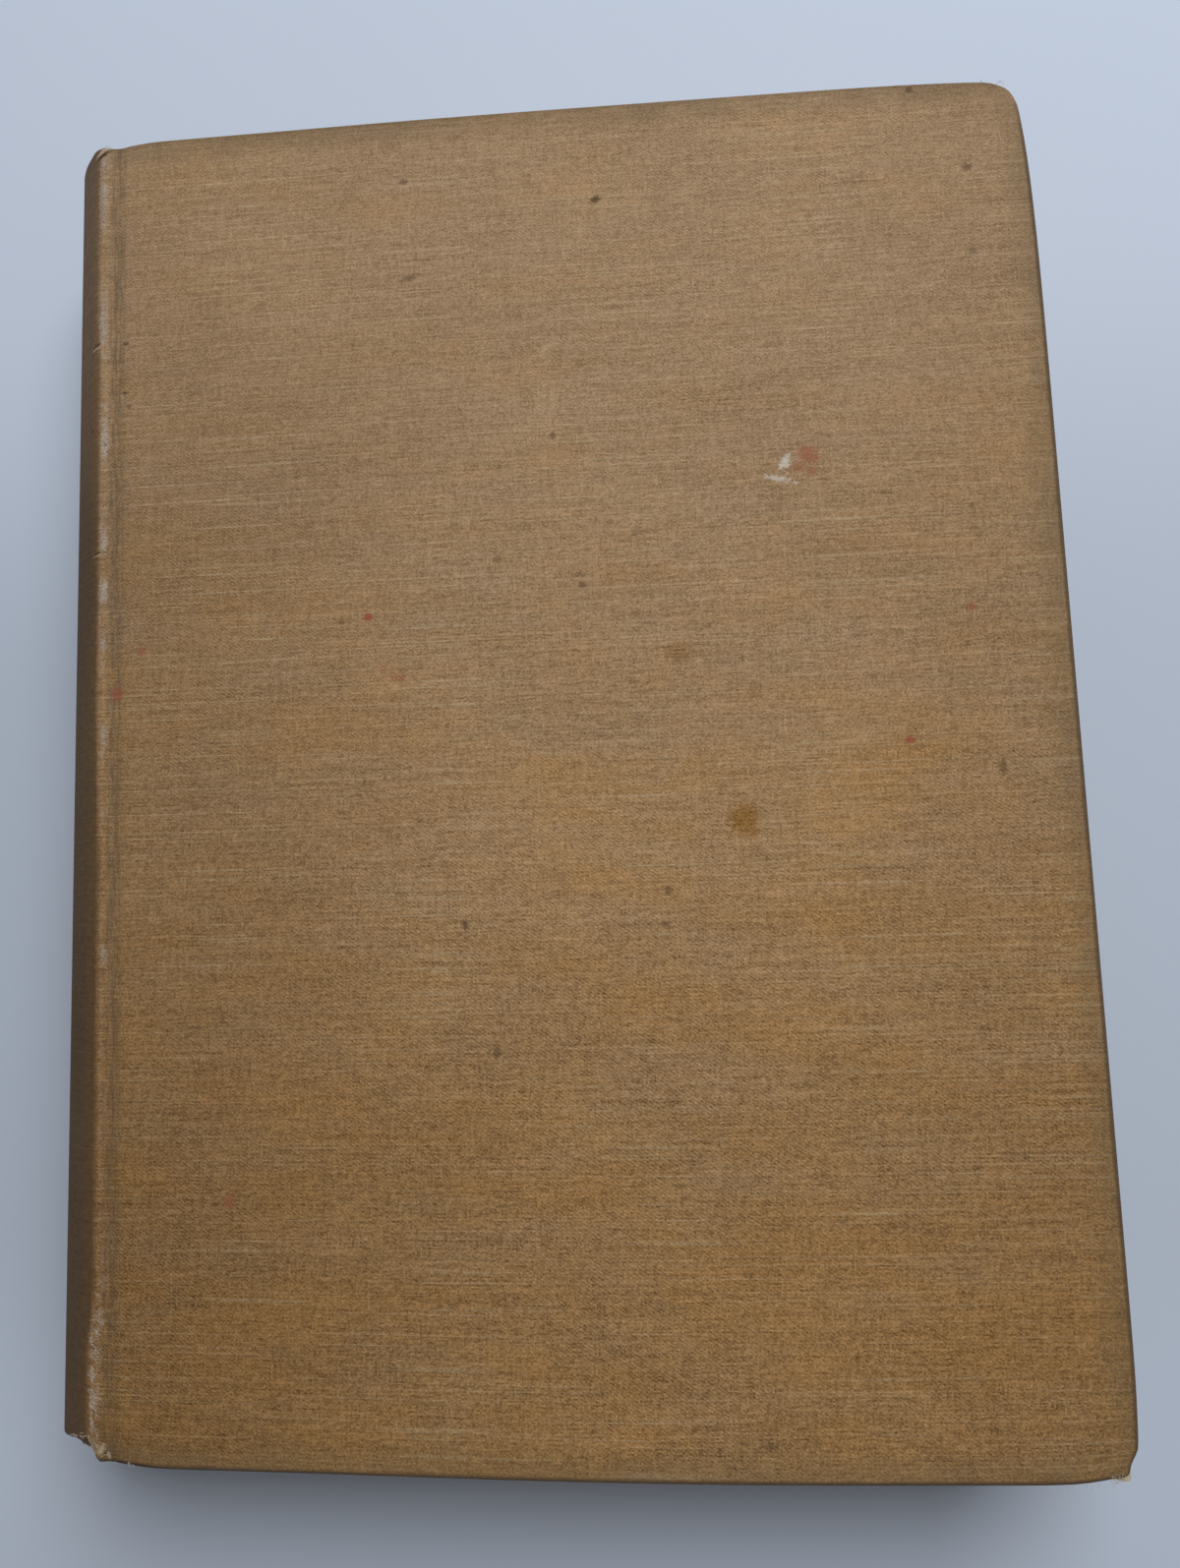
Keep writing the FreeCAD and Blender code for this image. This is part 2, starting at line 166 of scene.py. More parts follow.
class Nodes:
    """A material's node tree, with short calls for the nodes used here."""

    def __init__(self, name):
        self.material = bpy.data.materials.new(name)
        self.material.use_nodes = True
        self.tree = self.material.node_tree
        self.tree.nodes.clear()

    def add(self, kind, values=(), **settings):
        node = self.tree.nodes.new(kind)
        for name, setting in settings.items():
            setattr(node, name, setting)
        for socket, item in dict(values).items():
            self.plug(node.inputs[socket], item)
        return node

    def plug(self, socket, item):
        if isinstance(item, Field):
            self.tree.links.new(item.socket, socket)
        elif isinstance(item, tuple) and socket.type == "RGBA":
            socket.default_value = (*item, 1.0)
        else:
            socket.default_value = item

    def field(self, kind, output=0, values=(), **settings):
        return Field(self, self.add(kind, values, **settings).outputs[output])

    def math(self, operation, first, second=0.0):
        return self.field("ShaderNodeMath", 0, {0: first, 1: second}, operation=operation)

    def vector_math(self, operation, first, second=(0, 0, 0), output="Vector"):
        return self.field("ShaderNodeVectorMath", output, {0: first, 1: second}, operation=operation)

    def mix(self, share, first, second, blend_type="MIX"):
        values = {0: share, 6: first, 7: second}
        return self.field("ShaderNodeMix", 2, values, data_type="RGBA", blend_type=blend_type)

    def sheet_place(self, name="sheet_place"):
        """The point's place on the flat sheet, in metres, as it was before it was folded."""
        return self.field("ShaderNodeAttribute", "Vector", attribute_name=name)

    def object_place(self):
        return self.field("ShaderNodeTexCoord", "Object")

    def split(self, vector):
        node = self.add("ShaderNodeSeparateXYZ", {0: vector})
        return [Field(self, socket) for socket in node.outputs]

    def join(self, x, y, z=0.0):
        return self.field("ShaderNodeCombineXYZ", 0, {0: x, 1: y, 2: z})

    def bump(self, height, distance, strength=1.0, normal=None):
        values = {"Height": height, "Distance": distance, "Strength": strength}
        if normal is not None:
            values["Normal"] = normal
        return self.field("ShaderNodeBump", 0, values)

    def finish(self, color, roughness, normal=None, sheen=0.0, gloss=0.25):
        shader = self.add("ShaderNodeBsdfPrincipled", {"Base Color": color, "Roughness": roughness})
        shader.inputs["Specular IOR Level"].default_value = gloss
        shader.inputs["Sheen Weight"].default_value = sheen
        shader.inputs["Sheen Roughness"].default_value = 0.6
        if normal is not None:
            self.plug(shader.inputs["Normal"], normal)
        output = self.add("ShaderNodeOutputMaterial")
        self.tree.links.new(shader.outputs[0], output.inputs[0])
        return self.material


# Marks on the front cover

# Each mark: place from the joint towards the fore-edge and up from mid-height, half width and half height,
# turn in degrees, and strength. All but the last two in millimetres.
RED_MARKS = [
    (51.3, 27.5, 1.1, 0.8, 20, 0.95),
    (56.9, 15.4, 1.4, 1.0, 0, 0.40),
    (53.8, 17.0, 0.9, 0.6, 30, 0.25),
    (1.4, 15.2, 1.4, 1.5, 20, 0.62),
    (6.2, 23.4, 0.9, 0.9, 0, 0.62),
    (135.8, 53.9, 2.5, 1.7, -35, 0.62),
    (134.0, 51.6, 1.3, 1.1, 20, 0.45),
    (136.3, 50.7, 1.1, 0.9, 0, 0.50),
    (163.5, 23.2, 1.1, 0.9, 0, 0.50),
    (23.6, -80.4, 1.0, 1.5, 0, 0.55),
    (151.0, -0.7, 1.2, 0.8, 0, 0.85),
]
OLIVE_MARKS = [
    (120.6, -13.9, 3.1, 3.2, 0, 0.95),
    (121.6, -16.3, 2.1, 1.3, 0, 0.70),
    (110.0, 17.7, 2.8, 2.5, 0, 0.50),
    (107.8, 34.0, 1.4, 1.1, 0, 0.30),
]
# Dark stains, and a few marks of painted shade: the slit in the worn head cap and the band along the tail's
# rim beside the joint
DARK_STAIN_AND_SHADE_MARKS = [
    (97.6, 108.1, 1.3, 0.8, 30, 0.75),
    (158.8, 125.1, 0.8, 0.8, 0, 0.65),
    (168.4, 108.2, 1.1, 0.8, 0, 0.55),
    (59.7, 115.3, 0.8, 0.8, 0, 0.55),
    (60.3, 95.1, 2.2, 0.7, 20, 0.40),
    (87.8, 61.0, 0.7, 0.8, 0, 0.50),
    (68.6, -31.4, 0.6, 1.0, 10, 0.70),
    (74.0, -54.5, 0.8, 1.3, 0, 0.50),
    (106.3, -26.3, 0.9, 0.9, 0, 0.50),
    (105.6, -32.4, 0.8, 0.7, 0, 0.45),
    (167.1, -6.4, 0.8, 1.4, 0, 0.45),
    (120.0, -122.6, 1.3, 0.8, 0, 0.45),
    (92.0, 33.5, 1.6, 0.5, 0, 0.40),
    (104.0, 41.2, 2.2, 0.9, 0, 0.22),
    (168.5, 91.5, 0.9, 0.7, 0, 0.40),
    (46.0, 27.0, 0.7, 0.6, 0, 0.35),
    (76.5, 37.4, 0.8, 0.7, 0, 0.45),
    (92.4, 31.4, 0.9, 0.7, 0, 0.50),
    (115.8, 22.4, 0.7, 0.6, 0, 0.35),
    (149.4, 45.8, 1.1, 0.6, 0, 0.30),
    (2.6, 86.2, 0.7, 0.5, 0, 0.60),
    (2.5, 75.9, 0.7, 0.4, 0, 0.60),
    (3.4, 73.0, 0.6, 0.5, 0, 0.50),
    # Painted shade: the dark slit in the worn head cap
    (-2.9, 127.0, 2.2, 0.40, 31, 1.00),
    (-3.9, 86.5, 1.7, 0.25, 15, 0.80),
    (-5.3, 84.6, 1.2, 0.25, 50, 0.60),
    (-5.0, 68.9, 0.8, 0.35, 20, 0.80),
    (-3.0, 43.6, 1.2, 0.22, 8, 0.80),
    # Painted shade: the dark band along the tail's rim beside the joint
    (5.6, -126.2, 5.0, 0.40, -2, 0.85),
    (0.1, -124.4, 0.35, 1.0, 10, 0.70),
]
WHITE_MARKS = [
    (131.3, 52.5, 1.4, 0.9, 50, 0.90),
    (129.9, 49.6, 2.6, 0.55, -12, 0.70),
    (131.9, 53.8, 0.7, 0.7, 0, 0.60),
    (133.2, 48.6, 0.5, 0.35, 0, 0.50),
]
RUBBED_MARKS = [
    (-2.4, 116.8, 1.1, 6.4, 0, 0.50),
    (-2.1, 91.7, 1.0, 5.2, 0, 0.50),
    (-1.7, 66.2, 0.9, 4.2, 0, 0.80),
    (-1.7, 45.6, 0.8, 2.2, 0, 0.80),
    (-1.7, 35.7, 0.9, 2.6, 0, 0.90),
    (-1.7, 25.1, 0.7, 1.2, 0, 0.60),
    (-1.2, 7.4, 0.7, 2.4, 0, 0.50),
    (-0.9, -35.0, 0.7, 2.3, 0, 0.50),
]
CREAM_MARKS = [
    (-3.0, 127.9, 2.3, 0.40, 31, 0.80),
    (-3.8, 85.9, 1.9, 0.24, 12, 0.65),
    (-3.0, 43.1, 1.3, 0.20, 8, 0.60),
    (-0.8, -124.0, 0.55, 1.1, -20, 0.85),
    (0.7, -124.9, 0.45, 0.8, 15, 0.70),
]
ALL_MARKS = RED_MARKS + OLIVE_MARKS + DARK_STAIN_AND_SHADE_MARKS + WHITE_MARKS + RUBBED_MARKS + CREAM_MARKS


def mark_mask(nodes, place, marks, seed, raggedness=1.8):
    """Soft spots with ragged edges at the marks' places."""
    shifted = nodes.vector_math("ADD", place, (seed, 0, 0))
    ragged = (shifted.noise(1500, detail=3, roughness=0.75) - 0.5) * raggedness
    total = 0.0
    for across, up, half_width, half_height, turn, strength in marks:
        centre = sheet_point(HINGE_X + across * MM, up * MM)
        local = nodes.vector_math("SUBTRACT", place, centre)
        if turn:
            values = {"Vector": local, "Angle": math.radians(-turn)}
            local = nodes.field("ShaderNodeVectorRotate", 0, values, rotation_type="Z_AXIS")
        shares = (1 / (half_width * MM), 1 / (half_height * MM), 0)
        local = nodes.vector_math("MULTIPLY", local, shares)
        reach = nodes.vector_math("LENGTH", local, output="Value") + ragged
        total = nodes.math("MAXIMUM", reach.ramp(1.25, 0.45, 0.0, strength), total)
    return total


def keep_marks_local(obj, plain):
    """Gives the plain cloth to every face that no mark reaches, so that the marks cost little to render."""
    mesh = obj.data
    mesh.materials.append(plain)
    places = np.empty(len(mesh.vertices) * 3, np.float32)
    mesh.attributes["sheet_place"].data.foreach_get("vector", places)
    places = places.reshape(-1, 3)
    centres = np.array([places[list(face.vertices)].mean(axis=0) for face in mesh.polygons])
    reached = np.zeros(len(centres), bool)
    for across, up, half_width, half_height, _, _ in ALL_MARKS:
        x, y, _ = sheet_point(HINGE_X + across * MM, up * MM)
        reach = (2.9 * max(half_width, half_height) + 3) * MM
        reached |= (abs(centres[:, 0] - x) < reach) & (abs(centres[:, 1] - y) < reach)
    mesh.polygons.foreach_set("material_index", np.where(reached, 0, 1).astype(np.int32))


# Materials

WARP_PITCH = 0.36 * MM
WEFT_PITCH = 0.31 * MM
CLOTH_GREY = (0.400, 0.257, 0.144)
CLOTH_OCHRE = (0.408, 0.226, 0.084)
SLUB_COLOR = (0.58, 0.45, 0.29)
UPRIGHT_COLOR = (0.52, 0.39, 0.25)
DARK_THREAD_COLOR = (0.17, 0.105, 0.048)
FLECK_COLOR = (0.16, 0.10, 0.046)
SOIL_COLOR = (0.16, 0.115, 0.062)
BRIM_DIRT_AND_SHADE_COLOR = (0.085, 0.058, 0.036)
RUB_COLOR = (0.50, 0.43, 0.37)
GROOVE_SHADE_COLOR = (0.120, 0.082, 0.046)
SPINE_DIRT_AND_SHADE_COLORS = (0.072, 0.041, 0.019), (0.144, 0.084, 0.040)
RED_COLORS = (0.22, 0.050, 0.028), (0.46, 0.140, 0.080)
OLIVE_TINT = (0.70, 0.58, 0.33)
DARK_STAIN_AND_SHADE_COLOR = (0.070, 0.035, 0.018)
WHITE_COLOR = (0.66, 0.59, 0.50)
CREAM_COLOR = (0.50, 0.40, 0.28)
RUBBED_COLOR = (0.47, 0.42, 0.37)


def thread_value(nodes, across, up, pitch, run):
    """A random value for each thread of one direction, changing along it about every run."""
    row = nodes.math("FLOOR", up / pitch)
    values = {"Vector": nodes.join(across / run, row * 7.31), "Scale": 1.0, "Detail": 1.0}
    return nodes.field("ShaderNodeTexNoise", "Fac", values, noise_dimensions="2D")


def bookcloth(name, marked):
    """Ochre bookcloth: fine weave, pale slubs across it, soiling, rubbed ridge, and the cover's stains, with
    painted shade on the rim, in the joint, on the spine's side and towards the tail.
    """
    nodes = Nodes(name)
    place = nodes.sheet_place()
    across, up, _ = nodes.split(place)
    wander = (place.noise(260, detail=1) - 0.5) * (0.8 * MM)
    up_bent = up + wander
    across_bent = across + wander

    # Threads, knots and cloudiness make one brightness
    knot = nodes.join(
        nodes.math("FLOOR", across_bent / WARP_PITCH), nodes.math("FLOOR", up_bent / WEFT_PITCH)
    )
    knot = nodes.field("ShaderNodeTexWhiteNoise", "Value", {"Vector": knot}, noise_dimensions="2D")
    weft = thread_value(nodes, across, up_bent, WEFT_PITCH, 4 * MM)
    warp = thread_value(nodes, up, across_bent, WARP_PITCH, 6 * MM)
    weft_long = thread_value(nodes, across, up_bent, 2 * WEFT_PITCH, 26 * MM)
    fine = place.noise(2900, detail=1, roughness=0.7)
    grain = place.noise((680, 920, 800), detail=3, roughness=0.75)
    mottle = place.noise((152, 228, 190), detail=4, roughness=0.65)
    cloud = place.noise(26, detail=4, roughness=0.6)
    wide = place.noise(9, detail=2)
    bands = place.noise((22, 85, 1), detail=3, roughness=0.6)
    twill = nodes.math("SINE", (across / (1.03 * MM) + up / (0.725 * MM)) * math.tau)
    low_down = up.ramp(0.115, -0.125)
    value = (knot - 0.5) * 0.44
    parts = ((fine, 1.15), (grain, 0.42), (weft, 0.50), (warp, 0.30), (weft_long, 0.30), (mottle, 0.20))
    for part, size in parts:
        value += (part - 0.5) * size
    value += twill * wide.ramp(0.40, 0.60, 0.03, 0.12)
    value += up_bent.wave(0.68 * MM) * 0.05
    value = value * (low_down * 0.36 + 0.76) + 1.0 + (cloud - 0.5) * 0.32

    # Darker towards the joint's side, the fore-edge's side and the tail: partly handling dirt, partly
    # painted shade where the light falls off
    handling_dirt_and_shade = across.ramp(HINGE_X + 85 * MM, HINGE_X + 5 * MM, 0.0, 0.21)
    handling_dirt_and_shade += across.ramp(FORE_X - 60 * MM, FORE_X, 0.0, 0.10)
    handling_dirt_and_shade = handling_dirt_and_shade * up.ramp(0.11, 0.04, 0.4, 1.0) + up.ramp(0.0, -0.10, 0.0, 0.12)
    value = nodes.math("MAXIMUM", value * (1.0 - handling_dirt_and_shade), 0.05)
    tone = (cloud - 0.5) * 1.0 + low_down * 0.88 + (mottle - 0.5) * 0.6 + (bands - 0.5) * 1.3
    color = nodes.mix(tone.clamped(), CLOTH_GREY, CLOTH_OCHRE)
    deeper = nodes.join(value, nodes.math("POWER", value, 1.12), nodes.math("POWER", value, 1.35))
    color = nodes.mix(1.0, color, deeper, "MULTIPLY")

    # Pale and dark slubs both ways, and dark flecks
    slub = place.noise((26, 2200, 1), detail=0) + (place.noise(30, detail=2) - 0.5) * 0.28
    upright = place.noise((2300, 130, 1), detail=1)
    dotted = place.noise(900, detail=1).ramp(0.36, 0.60, 0.20, 1.0)
    pale_share = up.ramp(0.0, -0.08, 0.40, 0.30)
    color = nodes.mix(slub.ramp(0.64, 0.76, 0.0, pale_share) * dotted, color, SLUB_COLOR)
    color = nodes.mix(upright.ramp(0.68, 0.80, 0.0, 0.38) * dotted, color, UPRIGHT_COLOR)
    dark_thread = slub.ramp(0.32, 0.20, 0.0, 0.14) * dotted
    dark_upright = upright.ramp(0.30, 0.18, 0.0, 0.18) * dotted
    color = nodes.mix(nodes.math("MAXIMUM", dark_thread, dark_upright), color, DARK_THREAD_COLOR)
    fleck = place.noise(620, detail=1, roughness=0.4) + (place.noise(60, detail=2) - 0.5) * 0.25
    color = nodes.mix(fleck.ramp(0.74, 0.84, 0.0, 0.45), color, FLECK_COLOR)

    # Soiling along the edges, and painted shade, with some dirt, darkest round the rim where the cloth turns
    # away from the light
    edge_up = HALF_HEIGHT - abs(up)
    edge_fore = FORE_X - across
    soil_noise = place.noise(90, detail=4, roughness=0.7)
    soil = nodes.math("MINIMUM", edge_up, abs(edge_fore)) - soil_noise * (9 * MM)
    color = nodes.mix(soil.ramp(3 * MM, -5 * MM, 0.0, 0.45), color, SOIL_COLOR)
    # Painted shade: a dark line on the rim where it turns away from the light, lighter at the head, with
    # some dirt in it
    brim_dirt_and_shade = nodes.math("MINIMUM", edge_up - RIM, edge_fore - RIM) - soil_noise * (0.5 * MM)
    brim_shade_share = up.ramp(0.11, 0.126, 0.72, 0.25)
    color = nodes.mix(brim_dirt_and_shade.ramp(0.25 * MM, -0.35 * MM, 0.0, brim_shade_share), color, BRIM_DIRT_AND_SHADE_COLOR)

    # The pale rubbed line on the ridge, which wanders with the height
    rub_shift = up.ramp(15 * MM, -20 * MM, 0.0, 1.0 * MM)
    rub_shift += up.ramp(-95 * MM, -109 * MM, 0.0, -1.6 * MM)
    rub_shift += up.ramp(75 * MM, 95 * MM, 0.0, -0.7 * MM)
    rub_ragged = place.noise((1000, 600, 1), detail=3, roughness=0.7) - 0.5
    rub_place = across - rub_shift - (RIDGE_X + 0.1 * MM) + rub_ragged * (4.0 * MM)
    rub_run = place.noise((5, 55, 1), detail=2, roughness=0.6)
    rub_amount = (rub_run - 0.5) * 5.0 + 0.25 + up.ramp(0.0, 30 * MM, -0.15, 0.25)
    rub_amount = (rub_amount + up.ramp(-98 * MM, -108 * MM, 0.0, 0.6)).clamped()
    rub_blot = place.noise((650, 480, 1), detail=3, roughness=0.75)
    rub_broken = fine.ramp(0.36, 0.60, 0.15, 1.0)
    rub_amount = rub_amount * rub_blot.ramp(0.42, 0.60, 0.0, 0.90) * rub_broken
    rub_line = abs(rub_place).ramp(1.15 * MM, 0.25 * MM)
    color = nodes.mix(rub_line * rub_amount, color, RUB_COLOR)

    # Painted shade in the joint's hollow, and the spine's side darker: soiled cloth, with painted shade
    # where it turns from the light
    groove_noise = place.noise((1500, 130, 1), detail=3, roughness=0.7)
    # Painted shade: thin dark lines in the joint's hollow, where its crease lies in shade
    groove_shade = abs(across - (HINGE_X + 0.7 * MM)).ramp(2.4 * MM, 0.6 * MM)
    groove_shade *= groove_noise.ramp(0.40, 0.60, 0.10, 0.55)
    color = nodes.mix(groove_shade, color, GROOVE_SHADE_COLOR)
    # Painted shade on the spine's side, which faces away from the light, laid over its own soiled darker
    # cloth; deeper below the head
    turn = across - rub_shift * 0.8 + (groove_noise - 0.5) * (0.8 * MM) + rub_ragged * (1.2 * MM)
    shade = turn.ramp(RIDGE_X - 0.3 * MM, RIDGE_X - 1.9 * MM)
    shade *= up.ramp(110 * MM, 30 * MM, 0.62, 0.90)
    spine_dirt_and_shade_color = nodes.mix(((grain - 0.5) * 1.8 + cloud).clamped(), *SPINE_DIRT_AND_SHADE_COLORS)
    color = nodes.mix(shade, color, spine_dirt_and_shade_color)

    if marked:
        olive = mark_mask(nodes, place, OLIVE_MARKS, 0.31)
        red = mark_mask(nodes, place, RED_MARKS, 0.53)
        dark = mark_mask(nodes, place, DARK_STAIN_AND_SHADE_MARKS, 0.77)
        white = mark_mask(nodes, place, WHITE_MARKS, 0.91, 3.2)
        cream = mark_mask(nodes, place, CREAM_MARKS, 0.17)
        rubbed = mark_mask(nodes, place, RUBBED_MARKS, 0.43, 3.2) * rub_broken
        color = nodes.mix(olive, color, OLIVE_TINT, "MULTIPLY")
        color = nodes.mix(red, color, nodes.mix(fine, *RED_COLORS))
        tints = ((dark, DARK_STAIN_AND_SHADE_COLOR), (white, WHITE_COLOR), (cream, CREAM_COLOR), (rubbed, RUBBED_COLOR))
        for mask, tint in tints:
            color = nodes.mix(mask, color, tint)

    weave = across_bent.wave(0.34 * MM) * up_bent.wave(0.57 * MM)
    normal = nodes.bump(weave * 0.35 + weft + fine * 0.5 + slub * 0.9, 0.08 * MM, 0.75)
    dents = place.noise(55, detail=3)
    normal = nodes.bump(dents, 0.35 * MM, 0.5, normal)
    return nodes.finish(color, 0.82, normal, sheen=0.03, gloss=0.14)


def paper(name, light, dark):
    """Old paper: toned, faintly mottled, with a few fox marks and browner towards its edges."""
    nodes = Nodes(name)
    place = nodes.object_place()
    across, up, _ = nodes.split(place)
    fibre = place.noise(1500, detail=2, roughness=0.7)
    spots = place.noise(130, detail=3, roughness=0.6)
    tone = (fibre - 0.5) * 0.35 + place.noise(18, detail=4, roughness=0.6)
    edge = nodes.math("MINIMUM", BLOCK_HIGH.y - abs(up), abs(BLOCK_HIGH.x - across))
    color = nodes.mix(tone.ramp(0.3, 0.75), light, dark)
    brown = tuple(part * 0.72 for part in dark)
    color = nodes.mix(edge.ramp(22 * MM, 0.0, 0.0, 0.55), color, brown)
    color = nodes.mix(spots.ramp(0.70, 0.80, 0.0, 0.5), color, (0.36, 0.21, 0.09))
    return nodes.finish(color, 0.85, nodes.bump(fibre, 0.03 * MM, 0.5))


def page_edges():
    """The cut edges of the leaves: toned bands leaf by leaf, dusty at the head."""
    nodes = Nodes("page_edges")
    place = nodes.object_place()
    _, up, _ = nodes.split(place)
    leaf = place.noise((12, 12, 5200), detail=3, roughness=0.8)
    bands = place.noise((6, 6, 700), detail=2)
    dirt = place.noise((70, 70, 140), detail=4, roughness=0.65)
    value = ((leaf - 0.5) * 0.9 + 0.62 + (bands - 0.5) * 0.7).clamped()
    color = nodes.mix(value, (0.30, 0.205, 0.105), (0.60, 0.48, 0.31))
    dusty = up.ramp(BLOCK_HIGH.y - 2 * MM, BLOCK_HIGH.y - 0.4 * MM, 0.0, 0.55)
    dusty = (dusty + dirt.ramp(0.5, 0.8, 0.0, 0.3)).clamped()
    color = nodes.mix(dusty, color, (0.20, 0.155, 0.10))
    return nodes.finish(color, 0.9, nodes.bump(leaf, 0.10 * MM, 0.9))


def grey_board():
    """Layered board, as it shows where the cloth has worn through."""
    nodes = Nodes("grey_board")
    place = nodes.object_place()
    layers = place.noise((60, 60, 2600), detail=3, roughness=0.7)
    tone = (place.noise(1400, detail=3, roughness=0.75) - 0.5) * 0.6 + layers
    color = nodes.mix(tone.ramp(0.3, 0.7), (0.42, 0.33, 0.215), (0.62, 0.53, 0.39))
    return nodes.finish(color, 0.9, nodes.bump(tone, 0.12 * MM, 0.8))


def thin_weave(name, thread_color, gap_color, pitch, open_share):
    """Mull or linen tape: threads both ways with gaps between them."""
    nodes = Nodes(name)
    place = nodes.object_place()
    across, up, height = nodes.split(place)
    threads = nodes.math("MAXIMUM", (across + height).wave(pitch), up.wave(pitch))
    threads += (place.noise(500, detail=3, roughness=0.7) - 0.5) * 1.2
    share = threads.ramp(open_share - 0.3, open_share + 0.3)
    color = nodes.mix(share, gap_color, thread_color)
    return nodes.finish(color, 0.85, nodes.bump(threads, 0.10 * MM, 0.8))


def band_thread():
    """Two colours of thread wound in turns round the band's core."""
    nodes = Nodes("band_thread")
    place = nodes.sheet_place("turn_place")
    along, _, _ = nodes.split(place)
    strand = along.wave(STRAND_PITCH)
    stripe = along.wave(2.2 * MM).ramp(-0.15, 0.15)
    color = nodes.mix(stripe, (0.50, 0.38, 0.20), (0.30, 0.10, 0.045))
    # Duller patches from the noise, and painted shade between the thread's turns where the strand dips
    dull_and_shade = (place.noise(800, detail=3) * 0.6 - strand * 0.22).clamped()
    color = nodes.mix(dull_and_shade, color, (0.16, 0.11, 0.065))
    return nodes.finish(color, 0.6, nodes.bump(strand, 0.08 * MM, 0.8), sheen=0.2)


def loose_thread():
    """Bleached fibre of the worn cloth."""
    nodes = Nodes("loose_thread")
    fibre = nodes.object_place().noise(2600, detail=3, roughness=0.8)
    color = nodes.mix(fibre, (0.44, 0.33, 0.22), (0.74, 0.64, 0.50))
    return nodes.finish(color, 0.9, nodes.bump(fibre, 0.05 * MM, 0.8), sheen=0.3)


# Mesh helpers

def add_mesh(name, points, faces, material, attributes=None, smooth_below=50):
    """A mesh object from points and faces, with point attributes, smooth apart from its sharp edges."""
    mesh = bpy.data.meshes.new(name)
    mesh.from_pydata([tuple(p) for p in points], [], faces)
    for attribute_name, values in (attributes or {}).items():
        attribute = mesh.attributes.new(attribute_name, "FLOAT_VECTOR", "POINT")
        attribute.data.foreach_set("vector", np.asarray(values, np.float32).ravel())
    mesh.update()
    mesh.shade_smooth()
    mesh.set_sharp_from_angle(angle=math.radians(smooth_below))
    mesh.materials.append(material)
    return add_object(name, mesh)


def grid_faces(rows, columns, flip=False):
    """Faces of a grid of points laid out row by row."""
    faces = []
    for row in range(rows - 1):
        for column in range(columns - 1):
            corner = row * columns + column
            face = (corner, corner + 1, corner + columns + 1, corner + columns)
            faces.append(face[::-1] if flip else face)
    return faces


def for_cover(cover, points, faces):
    """The points and faces as they are for the front cover, or mirrored for the back one."""
    if cover == "front":
        return points, faces
    return [(x, y, THICKNESS - z) for x, y, z in points], [face[::-1] for face in faces]


def thicken(obj, thickness, smooth_below=50):
    """Gives a sheet its thickness, inwards from the side that its faces look to."""
    modifier = obj.modifiers.new("thickness", "SOLIDIFY")
    modifier.thickness = thickness
    modifier.offset = -1.0
    evaluated = obj.evaluated_get(bpy.context.evaluated_depsgraph_get())
    mesh = bpy.data.meshes.new_from_object(evaluated)
    mesh.set_sharp_from_angle(angle=math.radians(smooth_below))
    obj.modifiers.clear()
    obj.data = mesh


def wobble(x, y, seed, size):
    """Smooth noise from -1 to 1 whose features are about size metres across."""
    return noise.noise(Vector((x / size, y / size, seed)))


def limited(value):
    return min(max(value, 0.0), 1.0)


def ease(value):
    """A smooth step from 0 to 1."""
    part = limited(value)
    return part * part * (3 - 2 * part)


def bell(value, width):
    return math.exp(-((value / width) ** 2))


def fading(value, length):
    return math.exp(-value / length)


def bend_point(start, bottom, end, share):
    """The place at share of the way along a bend from start to end, drawn towards bottom."""
    ways = ((1 - share) ** 2, 2 * share * (1 - share), share**2)
    return [sum(way * place for way, place in zip(ways, places)) for places in zip(start, bottom, end)]


def round_spine(reach, angle, y=0.0):
    """The place at a reach from the spine's axis and an angle up from the middle of its back."""
    return SPINE_X - reach * math.cos(angle), y, MID + reach * math.sin(angle)


# The case's shape

HEAD_CORNER = 6.0 * MM
TAIL_CORNER = 1.6 * MM
RIM = 0.65 * MM
TURN_IN = 15 * MM
FOLD = 0.5 * MM
SEAM_ANGLE = math.radians(-30)
SEAM_HEIGHT = MID + SPINE_RADIUS * math.sin(SEAM_ANGLE)
SHEAR = 0.009
FORE_LEAN = 0.0055
SPINE_LEAN = 0.007
SHEAR_MIDDLE_X = HINGE_X + 90 * MM
FLAT_START_X = BOARD_BACK_X + 1.2 * MM
FLAT_COLUMNS = 76
JOINT_DIP = 0.55 * MM
JOINT_DEPTH = 1.2 * MM
SPINE_DEPTH = 1.5 * MM
SHOULDER_BULGE = 0.42 * MM
SHOULDER_BULGE_ANGLE = math.radians(61)
SHOULDER_BULGE_WIDTH = math.radians(7)
RIDGE_END_TURN = math.radians(68)
TAIL_CAP_WEAR = 4.2 * MM
TAIL_BOW = 1.4 * MM
TAIL_BOW_X = 18 * MM
HEAD_SPREAD = 0.75 * MM
FORE_SPREAD = 0.4 * MM


